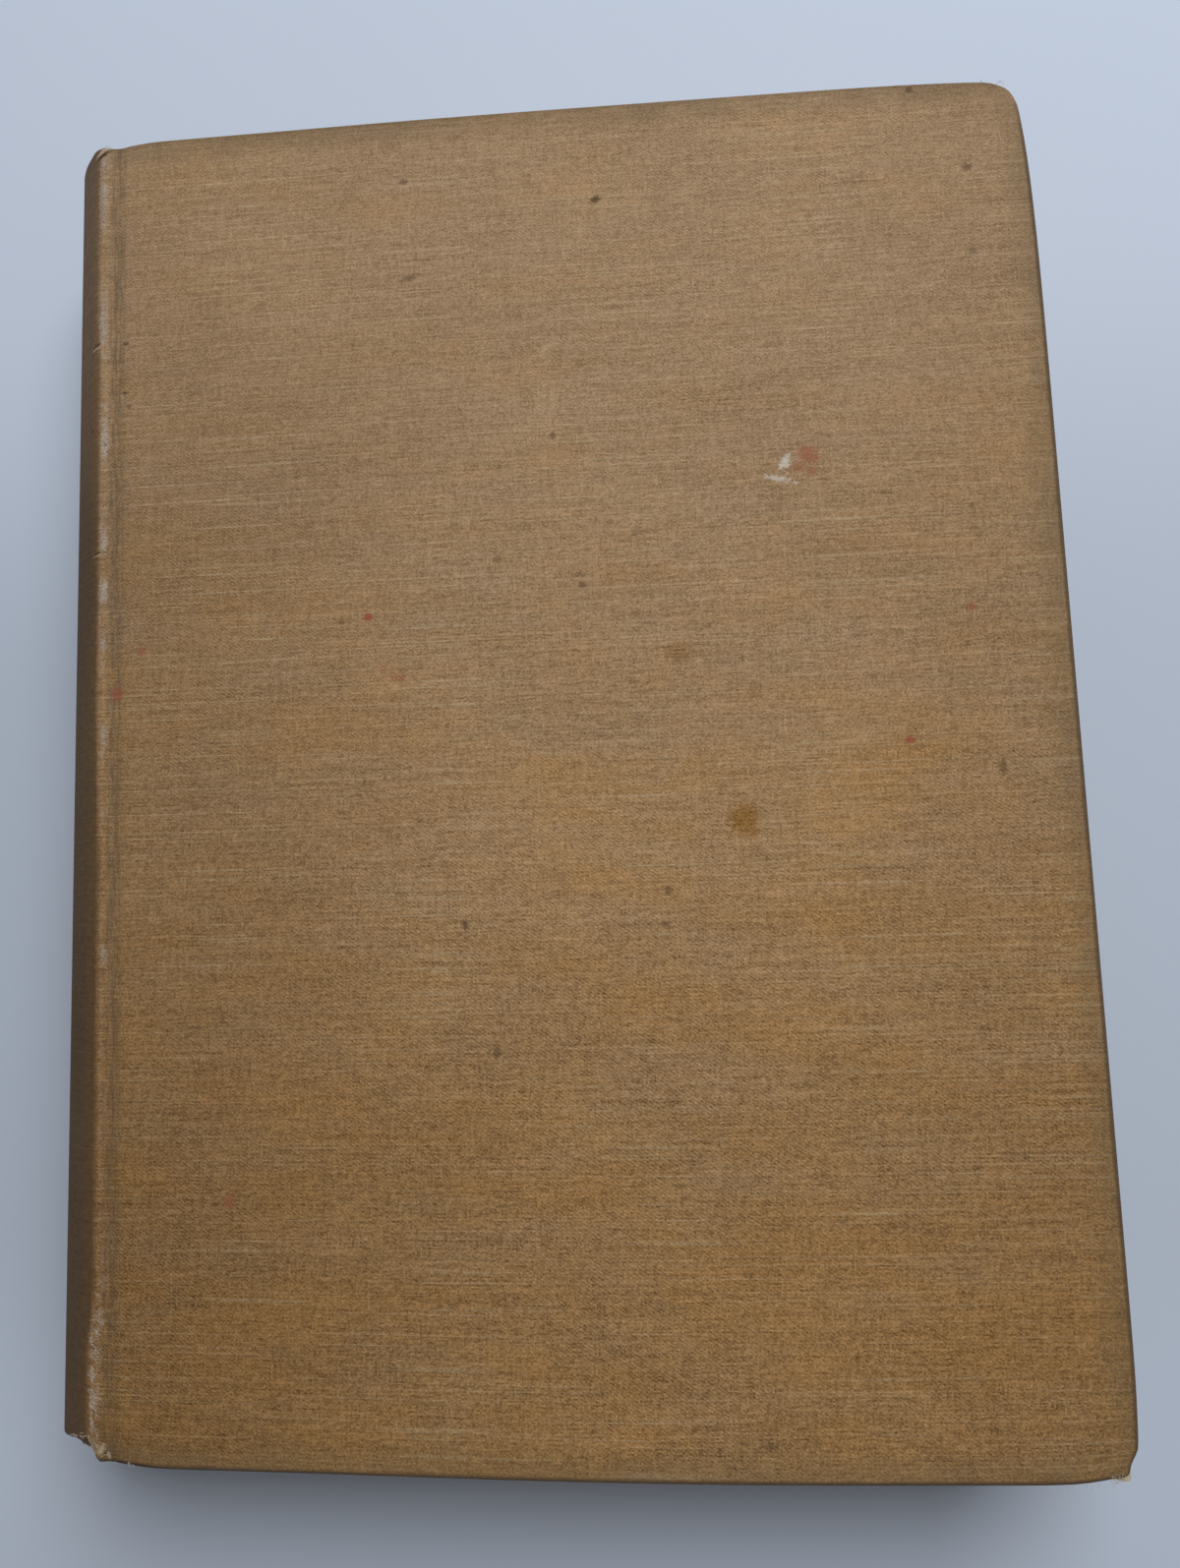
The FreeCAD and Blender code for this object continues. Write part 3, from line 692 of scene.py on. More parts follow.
def worn_shape(point):
    """The front cover's real outline: out of square, bowed at the tail, with its two corners bumped in."""
    x, y, z = point
    share = limited((z - SEAM_HEIGHT) / (THICKNESS - SEAM_HEIGHT))
    from_fore = max(FORE_X - x, 0.0)
    from_head = max(HALF_HEIGHT - y, 0.0)
    from_tail = max(HALF_HEIGHT + y, 0.0)

    # The whole cover, out of square
    on_board = ease((x - BOARD_BACK_X) / (FORE_X - BOARD_BACK_X))
    dx = (FORE_SPREAD - FORE_LEAN * y) * on_board
    dx += SPINE_LEAN * y * ease((HINGE_X - x) / (12 * MM))
    dy = -SHEAR * (x - SHEAR_MIDDLE_X)
    dy += HEAD_SPREAD * (1 - ease((x + 40 * MM) / (110 * MM))) * (1 - ease(from_head / (120 * MM)))
    dy -= TAIL_BOW * bell(x - TAIL_BOW_X, 70 * MM) * (1 - ease(from_tail / (110 * MM)))

    # The head's bumped corner, with its small nose, and the tail's blunt one
    near_head = fading(from_head, 14 * MM) * fading(from_fore, 20 * MM)
    near_tail = fading(from_tail, 8 * MM) * fading(from_fore, 8 * MM)
    nose = bell(from_fore - 1.0 * MM, 1.6 * MM) * bell(from_head - 1.6 * MM, 1.8 * MM)
    blunt = 0.6 * MM * bell(from_tail, 12 * MM) + 1.5 * MM * ease((6.0 * MM - from_tail) / (4.6 * MM))
    dx += 0.15 * MM * nose - 2.4 * MM * near_head - blunt * fading(from_fore, 8 * MM)
    dy += 0.3 * MM * nose - 1.5 * MM * near_head
    dy += 1.3 * MM * bell(from_fore, 7.5 * MM) * fading(from_tail, 7 * MM)

    # The notches at the joint's two ends, and the cap worn short at the tail
    dy += 0.75 * MM * fading(from_tail, 6 * MM) * bell(x - HINGE_X - 1 * MM, 6 * MM)
    dy -= 0.3 * MM * fading(from_head, 6 * MM) * bell(x - HINGE_X - 1.5 * MM, 4 * MM)
    cap = fading(from_tail, 9 * MM) * ease((RIDGE_X + 0.9 * MM - x) / (2.6 * MM))
    dy += (TAIL_CAP_WEAR + 0.5 * MM * wobble(x, z, 8.3, 3 * MM)) * cap

    lift = 0.12 * MM * wobble(x, y, 3.7, 60 * MM) - 0.6 * MM * near_head - 0.4 * MM * near_tail
    sunk = bell(from_head, 5 * MM) + bell(from_tail, 5 * MM)
    lift -= 0.45 * MM * sunk * bell(x - HINGE_X - 1 * MM, 5 * MM)
    return Vector((x + dx * share, y + dy * share, z + lift * share))


def board_shape(point):
    """The front board's real outline: its tail corner has worn through the cloth."""
    x, y, _ = point
    moved = worn_shape(point)
    tip = bell(FORE_X - x, 3.2 * MM) * bell(HALF_HEIGHT + y, 2.2 * MM)
    moved.y -= 1.9 * MM * tip
    moved.x += 0.8 * MM * tip
    return moved


def sheet_point(x, y):
    """The place on the flat sheet that the worn shape carries to (x, y) on the front cover."""
    moved = worn_shape((x, y, THICKNESS))
    return 2 * x - moved.x, 2 * y - moved.y, 0.0


def plain_shape(point):
    """The back cover's outline, which the photograph doesn't show: square, and a little uneven."""
    x, y, z = point
    share = limited((THICKNESS - SEAM_HEIGHT - z) / (THICKNESS - SEAM_HEIGHT))
    return Vector((x, y, z + 0.08 * MM * wobble(x, y, 9.1, 60 * MM) * share))


def case_section(seam_angle):
    """Points of the outer face's section, from the seam on the spine to the fore-edge's rim.

    Each is place x, place z, outward normal x and z, thickness under it, and distance along the sheet,
    which equals x on the board.
    """
    line = []
    for step in range(57):
        angle = seam_angle + (RIDGE_ANGLE - seam_angle) * step / 56
        reach = SPINE_RADIUS + SHOULDER_BULGE * bell(angle - SHOULDER_BULGE_ANGLE, SHOULDER_BULGE_WIDTH)
        x, _, z = round_spine(reach, angle)
        line.append((x, z, SPINE_DEPTH))
    first_turn = math.pi - RIDGE_ANGLE
    for step in range(1, 9):
        turn = first_turn + (RIDGE_END_TURN - first_turn) * step / 8
        x = RIDGE_X + RIDGE_RADIUS * math.cos(turn)
        line.append((x, MID + RIDGE_HALF + RIDGE_RADIUS * math.sin(turn), JOINT_DEPTH))
    start = line[-1][:2]
    end = (FLAT_START_X, THICKNESS)
    bottom = (HINGE_X + 0.4 * MM, THICKNESS - JOINT_DIP)
    for step in range(1, 15):
        x, z = bend_point(start, bottom, end, step / 14)
        depth = JOINT_DEPTH + (TURN_IN_DEPTH - JOINT_DEPTH) * ease((x - HINGE_X) / (2.5 * MM))
        line.append((x, z, depth))
    joint = len(line) - 1
    line += [(x, THICKNESS, TURN_IN_DEPTH) for x in np.linspace(end[0], FORE_X - RIM, FLAT_COLUMNS + 1)[1:]]
    places = [x for x, _, _ in line]
    for index in range(joint - 1, -1, -1):
        step = math.hypot(line[index + 1][0] - line[index][0], line[index + 1][1] - line[index][1])
        places[index] = places[index + 1] - step
    section = []
    for index, (x, z, depth) in enumerate(line):
        before, after = line[max(index - 1, 0)], line[min(index + 1, len(line) - 1)]
        slope = Vector((after[0] - before[0], after[1] - before[1])).normalized()
        section.append((x, z, -slope.y, slope.x, depth, places[index]))
    return section


def corner_pull(y):
    """How far a corner's rounding draws the rim's inner line in at height y."""
    radius = (HEAD_CORNER if y > 0 else TAIL_CORNER) - RIM
    past = abs(y) - (HALF_HEIGHT - RIM - radius)
    return radius - math.sqrt(max(radius**2 - past**2, 0.0)) if past > 0 else 0.0


def height_rows():
    """Rows from tail to head, closer together near both ends."""
    half = HALF_HEIGHT - RIM
    near = [half - part * MM for part in (0.0, 0.25, 0.6, 1.0, 1.5, 2.1, 2.8, 3.6, 4.6, 6.0, 7.8)]
    middle = np.linspace(-(half - 10 * MM), half - 10 * MM, 84)
    return sorted([-y for y in near] + list(middle) + near)


def case_cloth(name, cover, seam_angle, shape, material):
    """Half of the case's cloth: its outer face, the rim round three edges, and the turn-ins."""
    section = case_section(seam_angle)
    rows = height_rows()
    columns = len(section)
    flat_length = FORE_X - RIM - FLAT_START_X
    points, places = [], []

    def keep(point, place):
        points.append(point)
        places.append(place)
        return len(points) - 1

    grid = []
    for y in rows:
        pull = corner_pull(y)
        row = []
        for x, z, _, _, _, along in section:
            draw = pull * max(0.0, (x - FLAT_START_X) / flat_length)
            row.append(keep(Vector((x - draw, y, z)), (along - draw, y, 0.0)))
        grid.append(row)
    faces = grid_faces(len(rows), columns)

    # The outer face's border, from the tail's seam round the fore-edge to the head's seam
    border = [(corner, column) for column, corner in enumerate(grid[0])]
    border += [(row[-1], columns - 1) for row in grid[1:-1]]
    border += [(grid[-1][column], column) for column in range(columns - 1, -1, -1)]
    outward = []
    for index, (corner, column) in enumerate(border):
        if column == columns - 1:
            before = points[border[max(index - 1, 0)][0]]
            after = points[border[min(index + 1, len(border) - 1)][0]]
            way = after - before
            outward.append(Vector((way.y, -way.x, 0)).normalized())
        else:
            outward.append(Vector((0, 1 if points[corner].y > 0 else -1, 0)))
    rings = [[corner for corner, _ in border]]

    def add_ring(reach, depth_of, distance, inside=None):
        """One more ring round the border: its reach outwards, its depth, and its distance on the sheet."""
        ring = []
        for (corner, column), side in zip(border, outward):
            _, _, away_x, away_z, depth, _ = section[column]
            point = points[corner] + side * reach + Vector((-away_x, 0, -away_z)) * depth_of(depth)
            if inside is not None:
                half = HALF_HEIGHT - inside
                point.y = min(max(point.y, -half), half)
                if column >= columns - FLAT_COLUMNS - 2:
                    point.x = min(point.x, FORE_X - inside)
            along, up, _ = places[corner]
            ring.append(keep(point, (along + side.x * distance, up + side.y * distance, 0.0)))
        rings.append(ring)

    # Round the rim, down the edge, round the fold, and inwards as the turn-in
    quarter = math.pi / 2
    for step in range(1, 6):
        angle = quarter * step / 5
        drop = RIM * (1 - math.cos(angle))
        add_ring(RIM * math.sin(angle), lambda depth, drop=drop: min(drop, depth * 0.6), RIM * angle)
    down = RIM * quarter + TURN_IN_DEPTH
    add_ring(RIM, lambda depth: max(depth - FOLD, depth * 0.65), down)
    for step in range(1, 4):
        angle = quarter * step / 3
        back = FOLD * (1 - math.cos(angle))
        rise = FOLD * (1 - math.sin(angle))
        add_ring(RIM - back, lambda depth, rise=rise: depth - min(rise, depth * 0.3), down + FOLD * angle)
    for inside in (4 * MM, 8 * MM, TURN_IN):
        add_ring(RIM, lambda depth: depth, down + inside, inside)
    for first, second in zip(rings, rings[1:]):
        for index in range(len(first) - 1):
            faces.append((first[index + 1], first[index], second[index], second[index + 1]))

    points, faces = for_cover(cover, points, faces)
    obj = add_mesh(name, [shape(p) for p in points], faces, material, {"sheet_place": places})
    thicken(obj, CLOTH * 0.9)
    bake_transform(obj)
    return obj


def board_core(cover, shape, material):
    """The board inside the cloth, following the cover's real outline."""
    rows = height_rows()
    inset = CLOTH + 0.25 * MM
    across = np.linspace(BOARD_BACK_X + 0.3 * MM, FORE_X - inset, 40)
    top = THICKNESS - CLOTH - 0.1 * MM
    bottom = THICKNESS - (BOARD_HIGH.z - BOARD_LOW.z) - CLOTH + 0.1 * MM
    share = (HALF_HEIGHT - inset) / rows[-1]
    points = []
    for z in (top, bottom):
        for y in rows:
            for x in across:
                on_board = (x - across[0]) / (across[-1] - across[0])
                points.append((x - corner_pull(y) * on_board, y * share, z))
    width = len(across)
    last = len(rows) - 1
    count = len(rows) * width
    faces = grid_faces(len(rows), width)
    faces += [tuple(index + count for index in face[::-1]) for face in faces]
    ring = list(range(width))
    ring += [row * width + width - 1 for row in range(1, last + 1)]
    ring += [last * width + column for column in range(width - 2, -1, -1)]
    ring += [row * width for row in range(last - 1, 0, -1)]
    for first, second in zip(ring, ring[1:] + ring[:1]):
        faces.append((second, first, first + count, second + count))
    points, faces = for_cover(cover, points, faces)
    obj = add_mesh(f"{cover}_board_core", [shape(p) for p in points], faces, material)
    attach(obj, f"{cover}_cover")
    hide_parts(f"{cover}_board")


# The leaves

BLOCK_RADIUS = SPINE_X - BLOCK_LOW.x
BLOCK_HALF = FLYLEAF_BASE - MID
SHOULDER_ANGLE = math.asin((BLOCK_HALF - 1 * MM) / BLOCK_RADIUS)
SHOULDER_HALF = BLOCK_HIGH.z - MID
SHOULDER_LENGTH = (SHOULDER_HALF - (BLOCK_HALF - 1 * MM)) / math.cos(SHOULDER_ANGLE)
LEAF_GROUPS = 112
LEAVES_A_SECTION = 8
PAPER = 0.12 * MM


def leaf_end(share):
    """Where a leaf's fold lies on the rounded back: share runs from -1, lowest, to 1, highest."""
    arc = BLOCK_RADIUS * SHOULDER_ANGLE
    travel = abs(share) * (arc + SHOULDER_LENGTH)
    angle = min(travel / BLOCK_RADIUS, SHOULDER_ANGLE)
    past = max(travel - arc, 0.0)
    x = SPINE_X - BLOCK_RADIUS * math.cos(angle) + past * math.sin(SHOULDER_ANGLE)
    z = BLOCK_RADIUS * math.sin(angle) + past * math.cos(SHOULDER_ANGLE)
    return x, MID + math.copysign(z, share)


def leaf_line(share):
    """A leaf's line from its fold to the fore-edge, as points (x, z)."""
    level = MID + BLOCK_HALF * share
    bend = HINGE_X if abs(share) > 0.98 else HINGE_X - 3 * MM * (1 - share**2)
    flat = bend + 5 * MM * (1 - abs(share)) + 0.2 * MM
    line = [bend_point(leaf_end(share), (bend, level), (flat, level), step / 6) for step in range(7)]
    hollow = math.sqrt(BLOCK_RADIUS**2 - (BLOCK_HALF * share) ** 2)
    hollow -= math.sqrt(BLOCK_RADIUS**2 - BLOCK_HALF**2)
    fore = BLOCK_HIGH.x - hollow
    return line + [(flat + (fore - flat) * part, level) for part in (0.1, 0.25, 0.45, 0.65, 0.85, 0.96, 1.0)]


def leaf_insets():
    """How far each group of leaves falls short at the tail, fore-edge and head, after years of handling."""
    chance = np.random.default_rng(11)
    insets = 0.02 * MM + 0.16 * MM * chance.random((LEAF_GROUPS, 3)) ** 2
    wave = np.sin(np.arange(LEAF_GROUPS)[:, None] / 9 + np.array([0.0, 2.0, 4.0])) + 1
    insets += 0.06 * MM * wave
    insets[::LEAVES_A_SECTION] += 0.22 * MM
    insets[chance.random((LEAF_GROUPS, 3)) > 0.96] += 0.25 * MM
    return insets


def page_block(edges):
    """All the leaves, with the edge of each small group of them standing out a little or falling short."""
    points, faces, rings = [], [], []
    half = BLOCK_HIGH.y
    soft = 0.25 * MM
    for group, (tail, fore, head) in enumerate(leaf_insets()):
        for side in (0, 1):
            share = -1 + 2 * (group + side) / LEAF_GROUPS
            line = leaf_line(share)
            fore_x, fore_z = line[-1]
            fore_side = []
            for step in range(1, 14):
                y = -half + 2 * half * step / 14
                ripple = 0.10 * MM * wobble(y, share * 0.02, 5.3, 30 * MM)
                fore_side.append((fore_x - fore - abs(ripple), y, fore_z))
            ring = [(x, -half + tail, z) for x, z in line[:-1]]
            ring += [(fore_x - fore - soft, -half + tail + soft, fore_z)] + fore_side
            ring += [(fore_x - fore - soft, half - head - soft, fore_z)]
            ring += [(x, half - head, z) for x, z in line[-2::-1]]
            rings.append(range(len(points), len(points) + len(ring)))
            points += ring
    count = len(rings[0])
    along = len(leaf_line(0))
    for lower, upper in zip(rings, rings[1:]):
        for index in range(count - 1):
            faces.append((lower[index], lower[index + 1], upper[index + 1], upper[index]))
        faces.append((lower[-1], lower[0], upper[0], upper[-1]))
    for ring, flip in ((rings[0], True), (rings[-1], False)):
        for index in range(along - 2):
            face = (ring[index], ring[index + 1], ring[count - 2 - index], ring[count - 1 - index])
            faces.append(face[::-1] if flip else face)
        rest = tuple(ring[along - 2 : count - along + 2])
        faces.append(rest[::-1] if flip else rest)
    obj = add_mesh("pages", points, faces, edges, smooth_below=35)
    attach(obj, "block")
    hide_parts("text_block")


def flyleaf(cover, material):
    """The endpaper's free leaf: flat on the block, and turned up its shoulder into the joint."""
    tip_x, tip_z = leaf_end(1.0)
    top = FLYLEAF_BASE
    line = [(tip_x + 0.1 * MM, tip_z - 0.05 * MM)]
    for part in (0.3, 0.6, 0.85, 1.0):
        line.append((tip_x + (HINGE_X - tip_x) * part + 0.12 * MM, tip_z + (top - tip_z) * part + 0.1 * MM))
    flat = [HINGE_X + step * MM for step in (0.5, 1.5, 4)]
    flat += list(np.linspace(HINGE_X + 10 * MM, BLOCK_HIGH.x - 0.3 * MM, 22))
    line += [(x, top + 0.16 * MM) for x in flat]
    rows = np.linspace(-BLOCK_HIGH.y + 0.3 * MM, BLOCK_HIGH.y - 0.3 * MM, 24)
    points = []
    for y in rows:
        for x, z in line:
            wave = 0.04 * MM * wobble(x, y, 1.9, 45 * MM) if x > HINGE_X + 6 * MM else 0.0
            points.append((x, y, z + wave))
    points, faces = for_cover(cover, points, grid_faces(len(rows), len(line)))
    obj = add_mesh(f"{cover}_flyleaf_sheet", points, faces, material)
    thicken(obj, PAPER)
    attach(obj, "block")
    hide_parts(f"{cover}_flyleaf")


def step_up(value, edge, width):
    """A smooth step at edge, from 0 before it to 1 past it."""
    return ease((value - edge) / width + 0.5)


def pastedown_depth(x, y):
    """Depth of the pastedown's face under the cover's outer face, raised over what is glued beneath it."""
    ragged = 0.5 * MM * wobble(x, y, 6.6, 12 * MM)
    turned = step_up(x, FORE_X - TURN_IN + ragged, 1.6 * MM)
    turned = max(turned, step_up(abs(y), HALF_HEIGHT - TURN_IN + ragged, 1.6 * MM))
    mull = 1 - step_up(x, MULL_HIGH.x + ragged, 1.2 * MM)
    mull *= 1 - step_up(abs(y), MULL_HIGH.y, 1.2 * MM)
    tape = 0.0
    for low, high in TAPES:
        middle, reach = (low.y + high.y) / 2, (high.y - low.y) / 2
        tape = max(tape, 1 - step_up(abs(y - middle), reach, 1.0 * MM))
    tape *= 1 - step_up(x, TAPE_END_X, 1.2 * MM)
    raised = max(turned * CLOTH, mull * 0.2 * MM + tape * 0.25 * MM)
    return THICKNESS - BOARD_LOW.z + raised + 0.16 * MM


def grid_lines(edges, low, high):
    """Grid lines from low to high, about six millimetres apart, with closer ones about each edge."""
    lines = set(np.linspace(low, high, round((high - low) / (6 * MM)) + 1))
    for edge in edges:
        for offset in (-1.0, -0.5, 0.0, 0.5, 1.0):
            if low < edge + offset * MM < high:
                lines.add(edge + offset * MM)
    return sorted(lines)


def pastedown(cover, material):
    """The pasted endpaper and its strip across the joint; the turn-ins, mull and tapes show as steps."""
    tip_x, tip_z = leaf_end(1.0)
    column_edges = [MULL_HIGH.x, TAPE_END_X, FORE_X - TURN_IN]
    row_edges = [edge.y for tape in TAPES for edge in tape]
    row_edges += [MULL_LOW.y, MULL_HIGH.y, TURN_IN - HALF_HEIGHT, HALF_HEIGHT - TURN_IN]
    columns = grid_lines(column_edges, PASTE_LOW.x, PASTE_HIGH.x - 0.4 * MM)
    rows = grid_lines(row_edges, PASTE_LOW.y + 0.4 * MM, PASTE_HIGH.y - 0.4 * MM)
    strip = (0.0, 0.2, 0.4, 0.6, 0.8, 0.93)
    points = []
    for y in rows:
        depth = pastedown_depth(columns[0], y)
        for part in strip:
            z = tip_z + (THICKNESS - depth - tip_z) * (part * (2 - part))
            points.append((tip_x + (columns[0] - tip_x) * part, y, z))
        points += [(x, y, THICKNESS - pastedown_depth(x, y)) for x in columns]
    faces = grid_faces(len(rows), len(strip) + len(columns), True)
    points, faces = for_cover(cover, points, faces)
    obj = add_mesh(f"{cover}_pastedown_sheet", points, faces, material, smooth_below=80)
    thicken(obj, PAPER, 80)
    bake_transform(obj)
    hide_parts(f"{cover}_pastedown")


# Loose fibres where the cloth has worn

# Each patch: from and to along the sheet, from and to in height, count, shortest and longest, direction in
# degrees from the fore-edge side, and its spread. In millimetres from the joint and from mid-height.
SPINE_FUZZ = [
    (-2.9, -1.3, -119.0, -101.0, 110, 0.5, 1.3, 52, 30),
    (-1.2, -0.4, -120.0, -98.0, 30, 0.4, 0.9, 80, 30),
    (-2.0, -0.9, 33.0, 71.0, 60, 0.3, 0.8, 60, 70),
    (-2.6, -1.2, 96.0, 124.0, 20, 0.3, 0.7, 70, 60),
    (-2.0, 0.2, -126.2, -123.4, 26, 0.5, 1.3, -75, 60),
    (-8.6, -4.6, -126.8, -126.0, 9, 0.7, 1.8, -125, 30),
    (-4.6, -2.6, -126.4, -125.0, 8, 0.6, 1.4, -120, 30),
    (-4.0, -1.2, 126.8, 127.5, 8, 0.3, 0.9, 95, 50),
]
COVER_FUZZ = [
    (176.0, 179.4, -127.9, -126.4, 26, 0.4, 1.3, -35, 40),
    (168.0, 176.0, -128.0, -127.4, 8, 0.4, 0.9, -60, 50),
    (174.0, 178.5, 125.8, 127.3, 10, 0.4, 1.0, 55, 40),
    (0.5, 6.0, -127.3, -126.6, 8, 0.4, 1.0, -60, 50),
]
FIBRE_RINGS = 6


def sheet_surface(section, along, y, lift):
    """The place on the worn cover a little above the sheet's point."""
    for low, high in zip(section, section[1:]):
        if along <= high[5] or high is section[-1]:
            part = (along - low[5]) / (high[5] - low[5])
            x, z, away_x, away_z = (a + (b - a) * part for a, b in zip(low[:4], high[:4]))
            return worn_shape((x + away_x * lift, y, z + away_z * lift))


def fibres(name, body, patches, material, seed):
    """Short thin threads that stand up out of the worn cloth, each tapering and bent a little."""
    section = case_section(SEAM_ANGLE)
    chance = np.random.default_rng(seed)
    points, faces = [], []
    for low_x, high_x, low_y, high_y, count, shortest, longest, heading, spread in patches:
        for _ in range(count):
            along = HINGE_X + (low_x + (high_x - low_x) * chance.random()) * MM
            y = (low_y + (high_y - low_y) * chance.random()) * MM
            length = (shortest + (longest - shortest) * chance.random() ** 2) * MM
            turn = math.radians(heading + spread * chance.uniform(-1, 1))
            bend = chance.uniform(-1.2, 1.2)
            rise = chance.uniform(0.02, 0.35)
            radius = chance.uniform(0.03, 0.065) * MM
            for ring in range(FIBRE_RINGS):
                part = ring / (FIBRE_RINGS - 1)
                way = turn + bend * part
                reach = length * part
                lift = (0.02 + rise * math.sin(part * 2.2)) * MM
                spot = (along + reach * math.cos(way), y + reach * math.sin(way))
                centre = sheet_surface(section, *spot, lift)
                width = radius * (1 - 0.75 * part)
                side = Vector((-math.sin(way), math.cos(way), 0)) * width
                base = len(points)
                points += [centre - side, centre + side, centre + Vector((0, 0, width * 1.5))]
                if ring:
                    last = base - 3
                    faces += [(last + a, last + b, base + b, base + a) for a, b in ((0, 1), (1, 2), (2, 0))]
                else:
                    faces.append((base, base + 2, base + 1))
            faces.append((base, base + 1, base + 2))
    obj = add_mesh(name, points, faces, material)
    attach(obj, body)


# Bands at the head and tail of the spine

STRAND_PITCH = 0.36 * MM
BAND_STEPS = 460
BAND_CORNERS = 12


def band(name, side, bead, material, cloth):
    """A strip of cloth on the back, with a bead of wound thread standing over the ends of the leaves."""
    low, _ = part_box(name)
    angle_limit = math.radians(46)
    outer = SPINE_X - low.x
    middle = outer - bead
    base = BLOCK_HIGH.y * side
    points, places = [], []
    for step in range(BAND_STEPS + 1):
        angle = -angle_limit + 2 * angle_limit * step / BAND_STEPS
        travel = middle * angle
        taper = min(1.0, 0.45 + min(step, BAND_STEPS - step) / 14)
        strand = 1 + 0.10 * abs(math.sin(math.pi * travel / STRAND_PITCH))
        radius = bead * strand * taper / 1.1
        for corner in range(BAND_CORNERS):
            turn = math.tau * corner / BAND_CORNERS
            y = base + side * (bead + radius * math.sin(turn))
            points.append(round_spine(middle + radius * math.cos(turn), angle, y))
            places.append((travel + 0.2 * MM * turn / math.tau, turn * bead, 0))
    faces = []
    for first in range(0, BAND_STEPS * BAND_CORNERS, BAND_CORNERS):
        second = first + BAND_CORNERS
        for corner in range(BAND_CORNERS):
            following = (corner + 1) % BAND_CORNERS
            faces.append((first + corner, first + following, second + following, second + corner))
    faces.append(tuple(range(BAND_CORNERS - 1, -1, -1)))
    faces.append(tuple(range(len(points) - BAND_CORNERS, len(points))))
    if side < 0:
        faces = [face[::-1] for face in faces]
    thread = add_mesh(f"{name}_bead", points, faces, material, {"turn_place": places}, 180)
    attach(thread, "block")
    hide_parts(name)

    rows = [base + side * part * MM for part in (0.8, 0.2, -0.5, -3, -7, -11.8)]
    angles = np.linspace(-angle_limit, angle_limit, 40)
    reach = outer - 0.15 * MM
    points = [round_spine(reach, angle, y) for y in rows for angle in angles]
    strip = add_mesh(f"{name}_strip", points, grid_faces(len(rows), len(angles), side < 0), cloth)
    thicken(strip, 0.25 * MM)
    2 * angle_limit * reach
    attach(strip, "block")


# The rest of the inside

BROWN_PAPER = (0.36, 0.25, 0.15), (0.27, 0.18, 0.10)


def finish_hidden_nodes():
    """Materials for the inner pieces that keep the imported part's shapes."""
    mull = thin_weave("mull_cloth", (0.60, 0.54, 0.42), (0.22, 0.17, 0.11), 1.1 * MM, 0.55)
    linen = thin_weave("linen_tape", (0.55, 0.49, 0.37), (0.33, 0.28, 0.20), 0.5 * MM, -0.1)
    finishes = {"spine_lining": paper("kraft_paper", *BROWN_PAPER), "spine_mull": mull}
    for place in ("head", "middle", "tail"):
        finishes[f"tape_{place}"] = linen
        for cover in ("front", "back"):
            finishes[f"{cover}_tape_end_{place}"] = linen
            finishes[f"{cover}_mull_flange"] = mull
    for name, finish in finishes.items():
        obj = bpy.data.objects[name]
        obj.data.materials.clear()
        obj.data.materials.append(finish)


def spine_inlay(material):
    """The stiff paper that keeps the spine's shape, between its cloth and that cloth's folded ends."""
    limit = math.radians(49.5)
    outer = SPINE_X - INLAY_LOW.x
    half = INLAY_HIGH.y - 0.6 * MM
    rows = [half * part for part in (-1, -0.985, -0.97, -0.94, -0.9, -0.5, 0, 0.5, 0.94, 0.97, 1)]
    angles = np.linspace(-limit, limit, 36)
    points = [worn_shape(round_spine(outer, angle, y)) for y in rows for angle in angles]
    obj = add_mesh("spine_inlay_sheet", points, grid_faces(len(rows), len(angles)), material)
    thicken(obj, 0.5 * MM)
    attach(obj, "block")
    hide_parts("spine_inlay")


# Table and light

def add_floor():
    """A pale table, with painted shade that darkens it beside the book, where the light falls off."""
    nodes = Nodes("pale_floor")
    place = nodes.object_place()
    across, up, _ = nodes.split(place)
    color = nodes.mix(place.noise(6), (0.60, 0.67, 0.80), (0.63, 0.70, 0.83))
    # Painted shade: the table darker towards the tail and the left, where the light falls off
    painted_floor_shade = up.ramp(0.12, 0.02) * across.ramp(0.15, -0.08, 0.6, 1.0)
    painted_floor_shade *= up.ramp(-0.15, -0.09, 0.4, 1.0)
    color = nodes.mix(painted_floor_shade * 0.17, color, (0.0, 0.0, 0.0))
    reach = 4.0
    corners = [(-reach, -reach, 0), (reach, -reach, 0), (reach, reach, 0), (-reach, reach, 0)]
    floor = add_mesh("floor", corners, [(0, 1, 2, 3)], nodes.finish(color, 0.7))


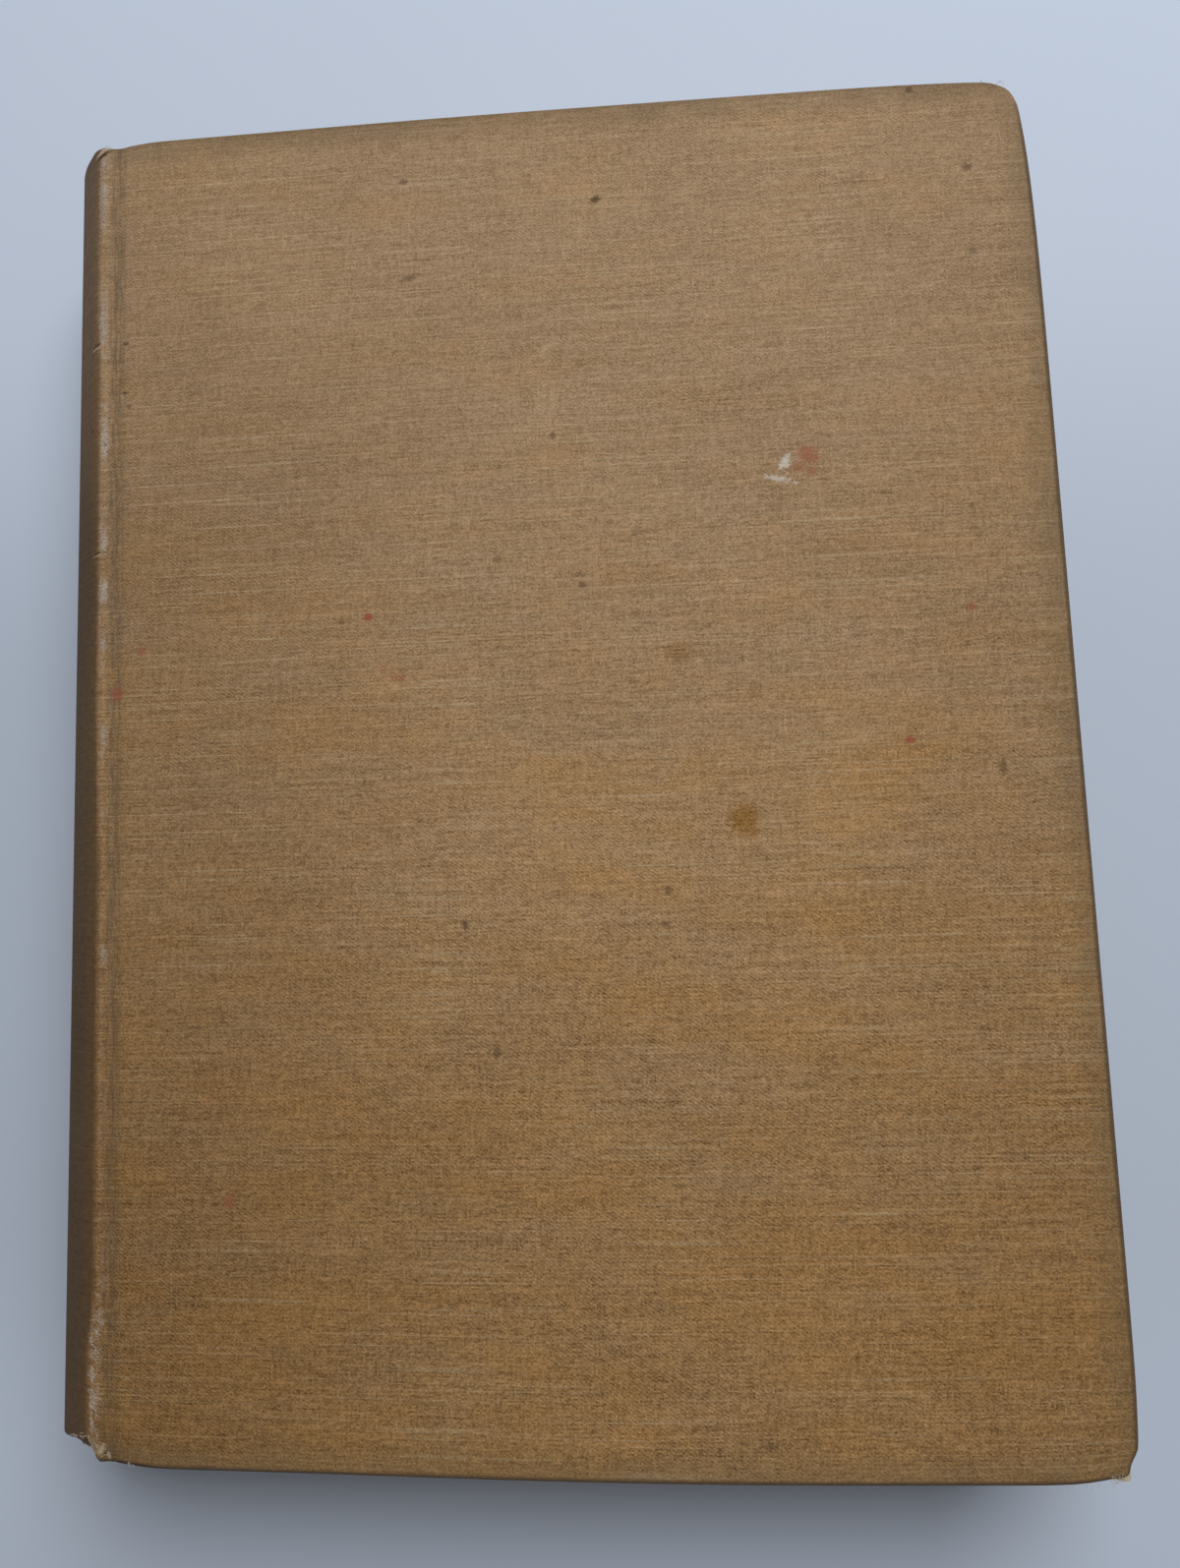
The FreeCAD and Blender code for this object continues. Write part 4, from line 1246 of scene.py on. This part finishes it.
def add_light(name, place, target, size, power, color):
    data = bpy.data.lights.new(name, "AREA")
    data.shape = "DISK"
    data.size = size
    data.energy = power
    data.color = color
    light = add_object(name, data)
    light.location = place
    light.rotation_euler = (Vector(target) - Vector(place)).to_track_quat("-Z", "Y").to_euler()


def add_lights():
    """A large soft light from beyond the head, to the right, and a dim even sky."""
    add_light("window", (0.36, 0.88, 1.14), (0, 0, 0), 1.15, 19.5, (0.96, 0.985, 1.0))
    world = bpy.data.worlds.new("sky")
    world.use_nodes = True
    world.node_tree.nodes["Background"].inputs[0].default_value = (1.0, 0.96, 0.92, 1)
    world.node_tree.nodes["Background"].inputs[1].default_value = 0.13
    bpy.context.scene.world = world


add_camera()
add_floor()
add_lights()

CLOTH_MARKED = bookcloth("bookcloth_marked", True)
CLOTH_PLAIN = bookcloth("bookcloth", False)
BOARD_MATERIAL = grey_board()

front_cloth = case_cloth("front_case_cloth", "front", SEAM_ANGLE, worn_shape, CLOTH_MARKED)
keep_marks_local(front_cloth, CLOTH_PLAIN)
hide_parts("front_cloth", "spine_cloth")
back_cloth = case_cloth("back_case_cloth", "back", -SEAM_ANGLE, plain_shape, CLOTH_PLAIN)
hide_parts("back_cloth")
board_core("front", board_shape, BOARD_MATERIAL)
board_core("back", plain_shape, BOARD_MATERIAL)

page_block(page_edges())
LEAF_PAPER = paper("old_endpaper", (0.66, 0.57, 0.42), (0.56, 0.45, 0.29))
BAND_CLOTH = thin_weave("band_cloth", (0.50, 0.42, 0.30), (0.30, 0.24, 0.16), 0.5 * MM, -0.1)
BAND_THREAD = band_thread()
for which in ("front", "back"):
    flyleaf(which, LEAF_PAPER)
    pastedown(which, LEAF_PAPER)
band("headband", 1, 0.80 * MM, BAND_THREAD, BAND_CLOTH)
band("tailband", -1, 0.55 * MM, BAND_THREAD, BAND_CLOTH)
THREAD = loose_thread()
fibres("spine_fibres", "block", SPINE_FUZZ, THREAD, 5)
fibres("cover_fibres", "front_cover", COVER_FUZZ, THREAD, 8)
spine_inlay(paper("inlay_paper", *BROWN_PAPER))
finish_hidden_nodes()
